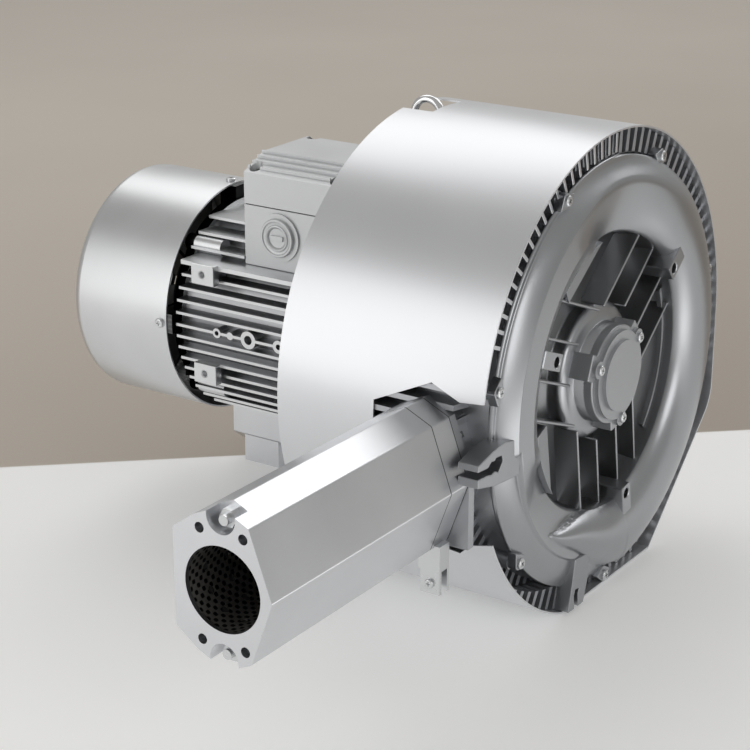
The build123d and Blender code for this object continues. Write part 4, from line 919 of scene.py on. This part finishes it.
# Camera that took the photograph. Its lens and sensor are in millimetres, its reach in metres

CAMERA_AT = (-1484.94, -759.57, 597.35)
CAMERA_LOOKS = (0.77964, 0.52564, -0.34038)
CAMERA_LENS = 98.99
CAMERA_SENSOR = 36.0
CAMERA_REACH = 50.0


def make_camera():
    data = bpy.data.cameras.new("camera")
    data.lens = CAMERA_LENS
    data.sensor_width = CAMERA_SENSOR
    data.clip_end = CAMERA_REACH
    camera = bpy.data.objects.new("camera", data)
    camera.location = place(CAMERA_AT)[0]
    camera.rotation_mode = "QUATERNION"
    camera.rotation_quaternion = Vector(CAMERA_LOOKS).to_track_quat("-Z", "Y")
    bpy.context.scene.collection.objects.link(camera)
    bpy.context.scene.camera = camera


# Floor. Two points of the line where it ends behind the object, in x and y
FLOOR_EDGE = ((-99.0, 632.0), (421.0, 47.0))
FLOOR_COLOR = (0.93, 0.93, 0.925, 1)
# The backdrop painted on the floor behind that line, with painted light: lighter far behind, and
# painted shade towards the right
WALL_NEAR_LEFT = (0.46, 0.41, 0.35, 1)
WALL_NEAR_RIGHT = (0.30, 0.255, 0.21, 1)
WALL_FAR = (0.62, 0.57, 0.51, 1)
WALL_BLOTCH = (0.3, 0.26, 0.22, 1)
FLOOR_BLOTCH = (0.7, 0.7, 0.69, 1)
BLOTCH_SCALE = 2.2
BLOTCH_DETAIL = 5.0
# Noise that is no blotch and full blotch, and how much that mixes in
BLOTCH_NOISE = (0.3, 0.7)
BLOTCH_MIX = (0.0, 0.08)
# Metres to the right along the edge and metres behind it, over which the wall's colour changes: its
# painted shade to the right and its painted light far behind
WALL_SIDE = (-0.2, 1.1)
WALL_DEPTH = (0.0, 2.2)
EDGE_WIDTH = (-0.001, 0.003)
# Strength that camera and reflections see, the extra strength of a glowing spot in front of the
# silencer that reflections alone see, painted light for the light band on the silencer's side and
# the highlight on the cover's flank, the spot's place in the frame and its two radii, in metres
GROUND_GLOW = 0.2
FRONT_GLOW = 1.5
GLOW_AT = (-0.03, -0.66, 0.0)
GLOW_RADIUS = (0.38, 0.15)
GROUND_ROUGH = 0.6
# Half the width of the ground, in metres
GROUND_HALF = 9


def ground_material():
    """Pale floor that turns into a warm grey backdrop behind the object, with painted shade darker
    to the right and painted light farther behind, and soft blotches. It shows a little glow to the
    camera and to reflections."""
    material, shader = principled("ground", (0.9, 0.9, 0.9), GROUND_ROUGH)
    tree = material.node_tree
    coords, (x, y, _) = object_coordinates(tree)
    start, end = place((*FLOOR_EDGE[0], 0))[0], place((*FLOOR_EDGE[1], 0))[0]
    along = (end - start)[:2] / np.linalg.norm((end - start)[:2])
    away = np.array((-along[1], along[0]))

    def distance(direction):
        """Distance from the edge's first point along a level direction: the coordinates times
        the direction, less the same for that point."""
        total = math_node(tree, "ADD", product(tree, x, float(direction[0])),
                          product(tree, y, float(direction[1])))
        return math_node(tree, "SUBTRACT", total, float(direction @ start[:2]))

    behind = distance(away)
    right = distance(along)
    blotch = noise_node(tree, coords, BLOTCH_SCALE, BLOTCH_DETAIL)
    shade = range_node(tree, blotch, *BLOTCH_NOISE, *BLOTCH_MIX)
    near_wall = mix_color(tree, range_node(tree, right, *WALL_SIDE), WALL_NEAR_LEFT,
                          WALL_NEAR_RIGHT)
    wall = mix_color(tree, range_node(tree, behind, *WALL_DEPTH), near_wall, WALL_FAR)
    wall = mix_color(tree, shade, wall, WALL_BLOTCH)
    floor = mix_color(tree, shade, FLOOR_COLOR, FLOOR_BLOTCH)
    color = mix_color(tree, range_node(tree, behind, *EDGE_WIDTH), floor, wall)
    tree.links.new(color, shader.inputs["Base Color"])
    tree.links.new(color, shader.inputs["Emission Color"])
    path = tree.nodes.new("ShaderNodeLightPath").outputs
    seen = math_node(tree, "MAXIMUM", path["Is Camera Ray"], path["Is Glossy Ray"])
    reach = tree.nodes.new("ShaderNodeVectorMath")
    reach.operation = "DISTANCE"
    tree.links.new(coords, reach.inputs[0])
    reach.inputs[1].default_value = GLOW_AT
    spot = range_node(tree, reach.outputs["Value"], *GLOW_RADIUS, 0.0, FRONT_GLOW)
    glow = math_node(tree, "ADD", product(tree, seen, GROUND_GLOW),
                     product(tree, spot, path["Is Glossy Ray"]))
    tree.links.new(glow, shader.inputs["Emission Strength"])
    return material


def make_stage():
    """One level ground, as large as the view needs."""
    far = GROUND_HALF
    mesh = bpy.data.meshes.new("ground")
    mesh.from_pydata([(-far, -far, 0), (far, -far, 0), (far, far, 0), (-far, far, 0)], [],
                     [(0, 1, 2, 3)])
    ground = bpy.data.objects.new("ground", mesh)
    mesh.materials.append(ground_material())
    bpy.context.scene.collection.objects.link(ground)


# Light. Name, direction from the object, distance, width and height in metres, radiance, and
# whether it lights diffuse surfaces as well as showing in reflections
SOFTBOXES = (
    ("left_softbox", (-0.80, 0.50, 0.26), 2.2, (1.2, 1.7), 1.3, True),
    ("top_softbox", (0.42, 0.52, 0.74), 2.2, (1.5, 1.3), 1.25, True),
    ("front_softbox", (-0.38, -0.88, 0.30), 2.5, (1.3, 1.5), 1.7, True),
    ("right_softbox", (0.79, -0.05, 0.61), 2.4, (1.6, 1.4), 2.2, False),
)
LIT_POINT = (0.0, 100.0, 0.0)
ROOM_COLOR = (0.40, 0.395, 0.385, 1)


def softbox(name, direction, distance, size, radiance, diffuse):
    """A rectangular lamp seen from the object in a direction, with an even radiance over its
    face: a power of radiance times pi times its area."""
    data = bpy.data.lights.new(name, "AREA")
    data.shape = "RECTANGLE"
    data.size, data.size_y = size
    data.energy = radiance * math.pi * size[0] * size[1]
    light = bpy.data.objects.new(name, data)
    heading = Vector(direction).normalized()
    light.location = Vector(place(LIT_POINT)[0]) + heading * distance
    light.rotation_mode = "QUATERNION"
    light.rotation_quaternion = (-heading).to_track_quat("-Z", "Y")
    light.visible_diffuse = diffuse
    bpy.context.scene.collection.objects.link(light)


def make_light():
    world = bpy.data.worlds.new("room")
    world.use_nodes = True
    room = world.node_tree.nodes["Background"].inputs
    room["Color"].default_value = ROOM_COLOR
    room["Strength"].default_value = 1.0
    bpy.context.scene.world = world
    for lamp in SOFTBOXES:
        softbox(*lamp)
    bpy.context.scene.view_settings.view_transform = "Standard"


make_camera()
make_stage()
make_light()
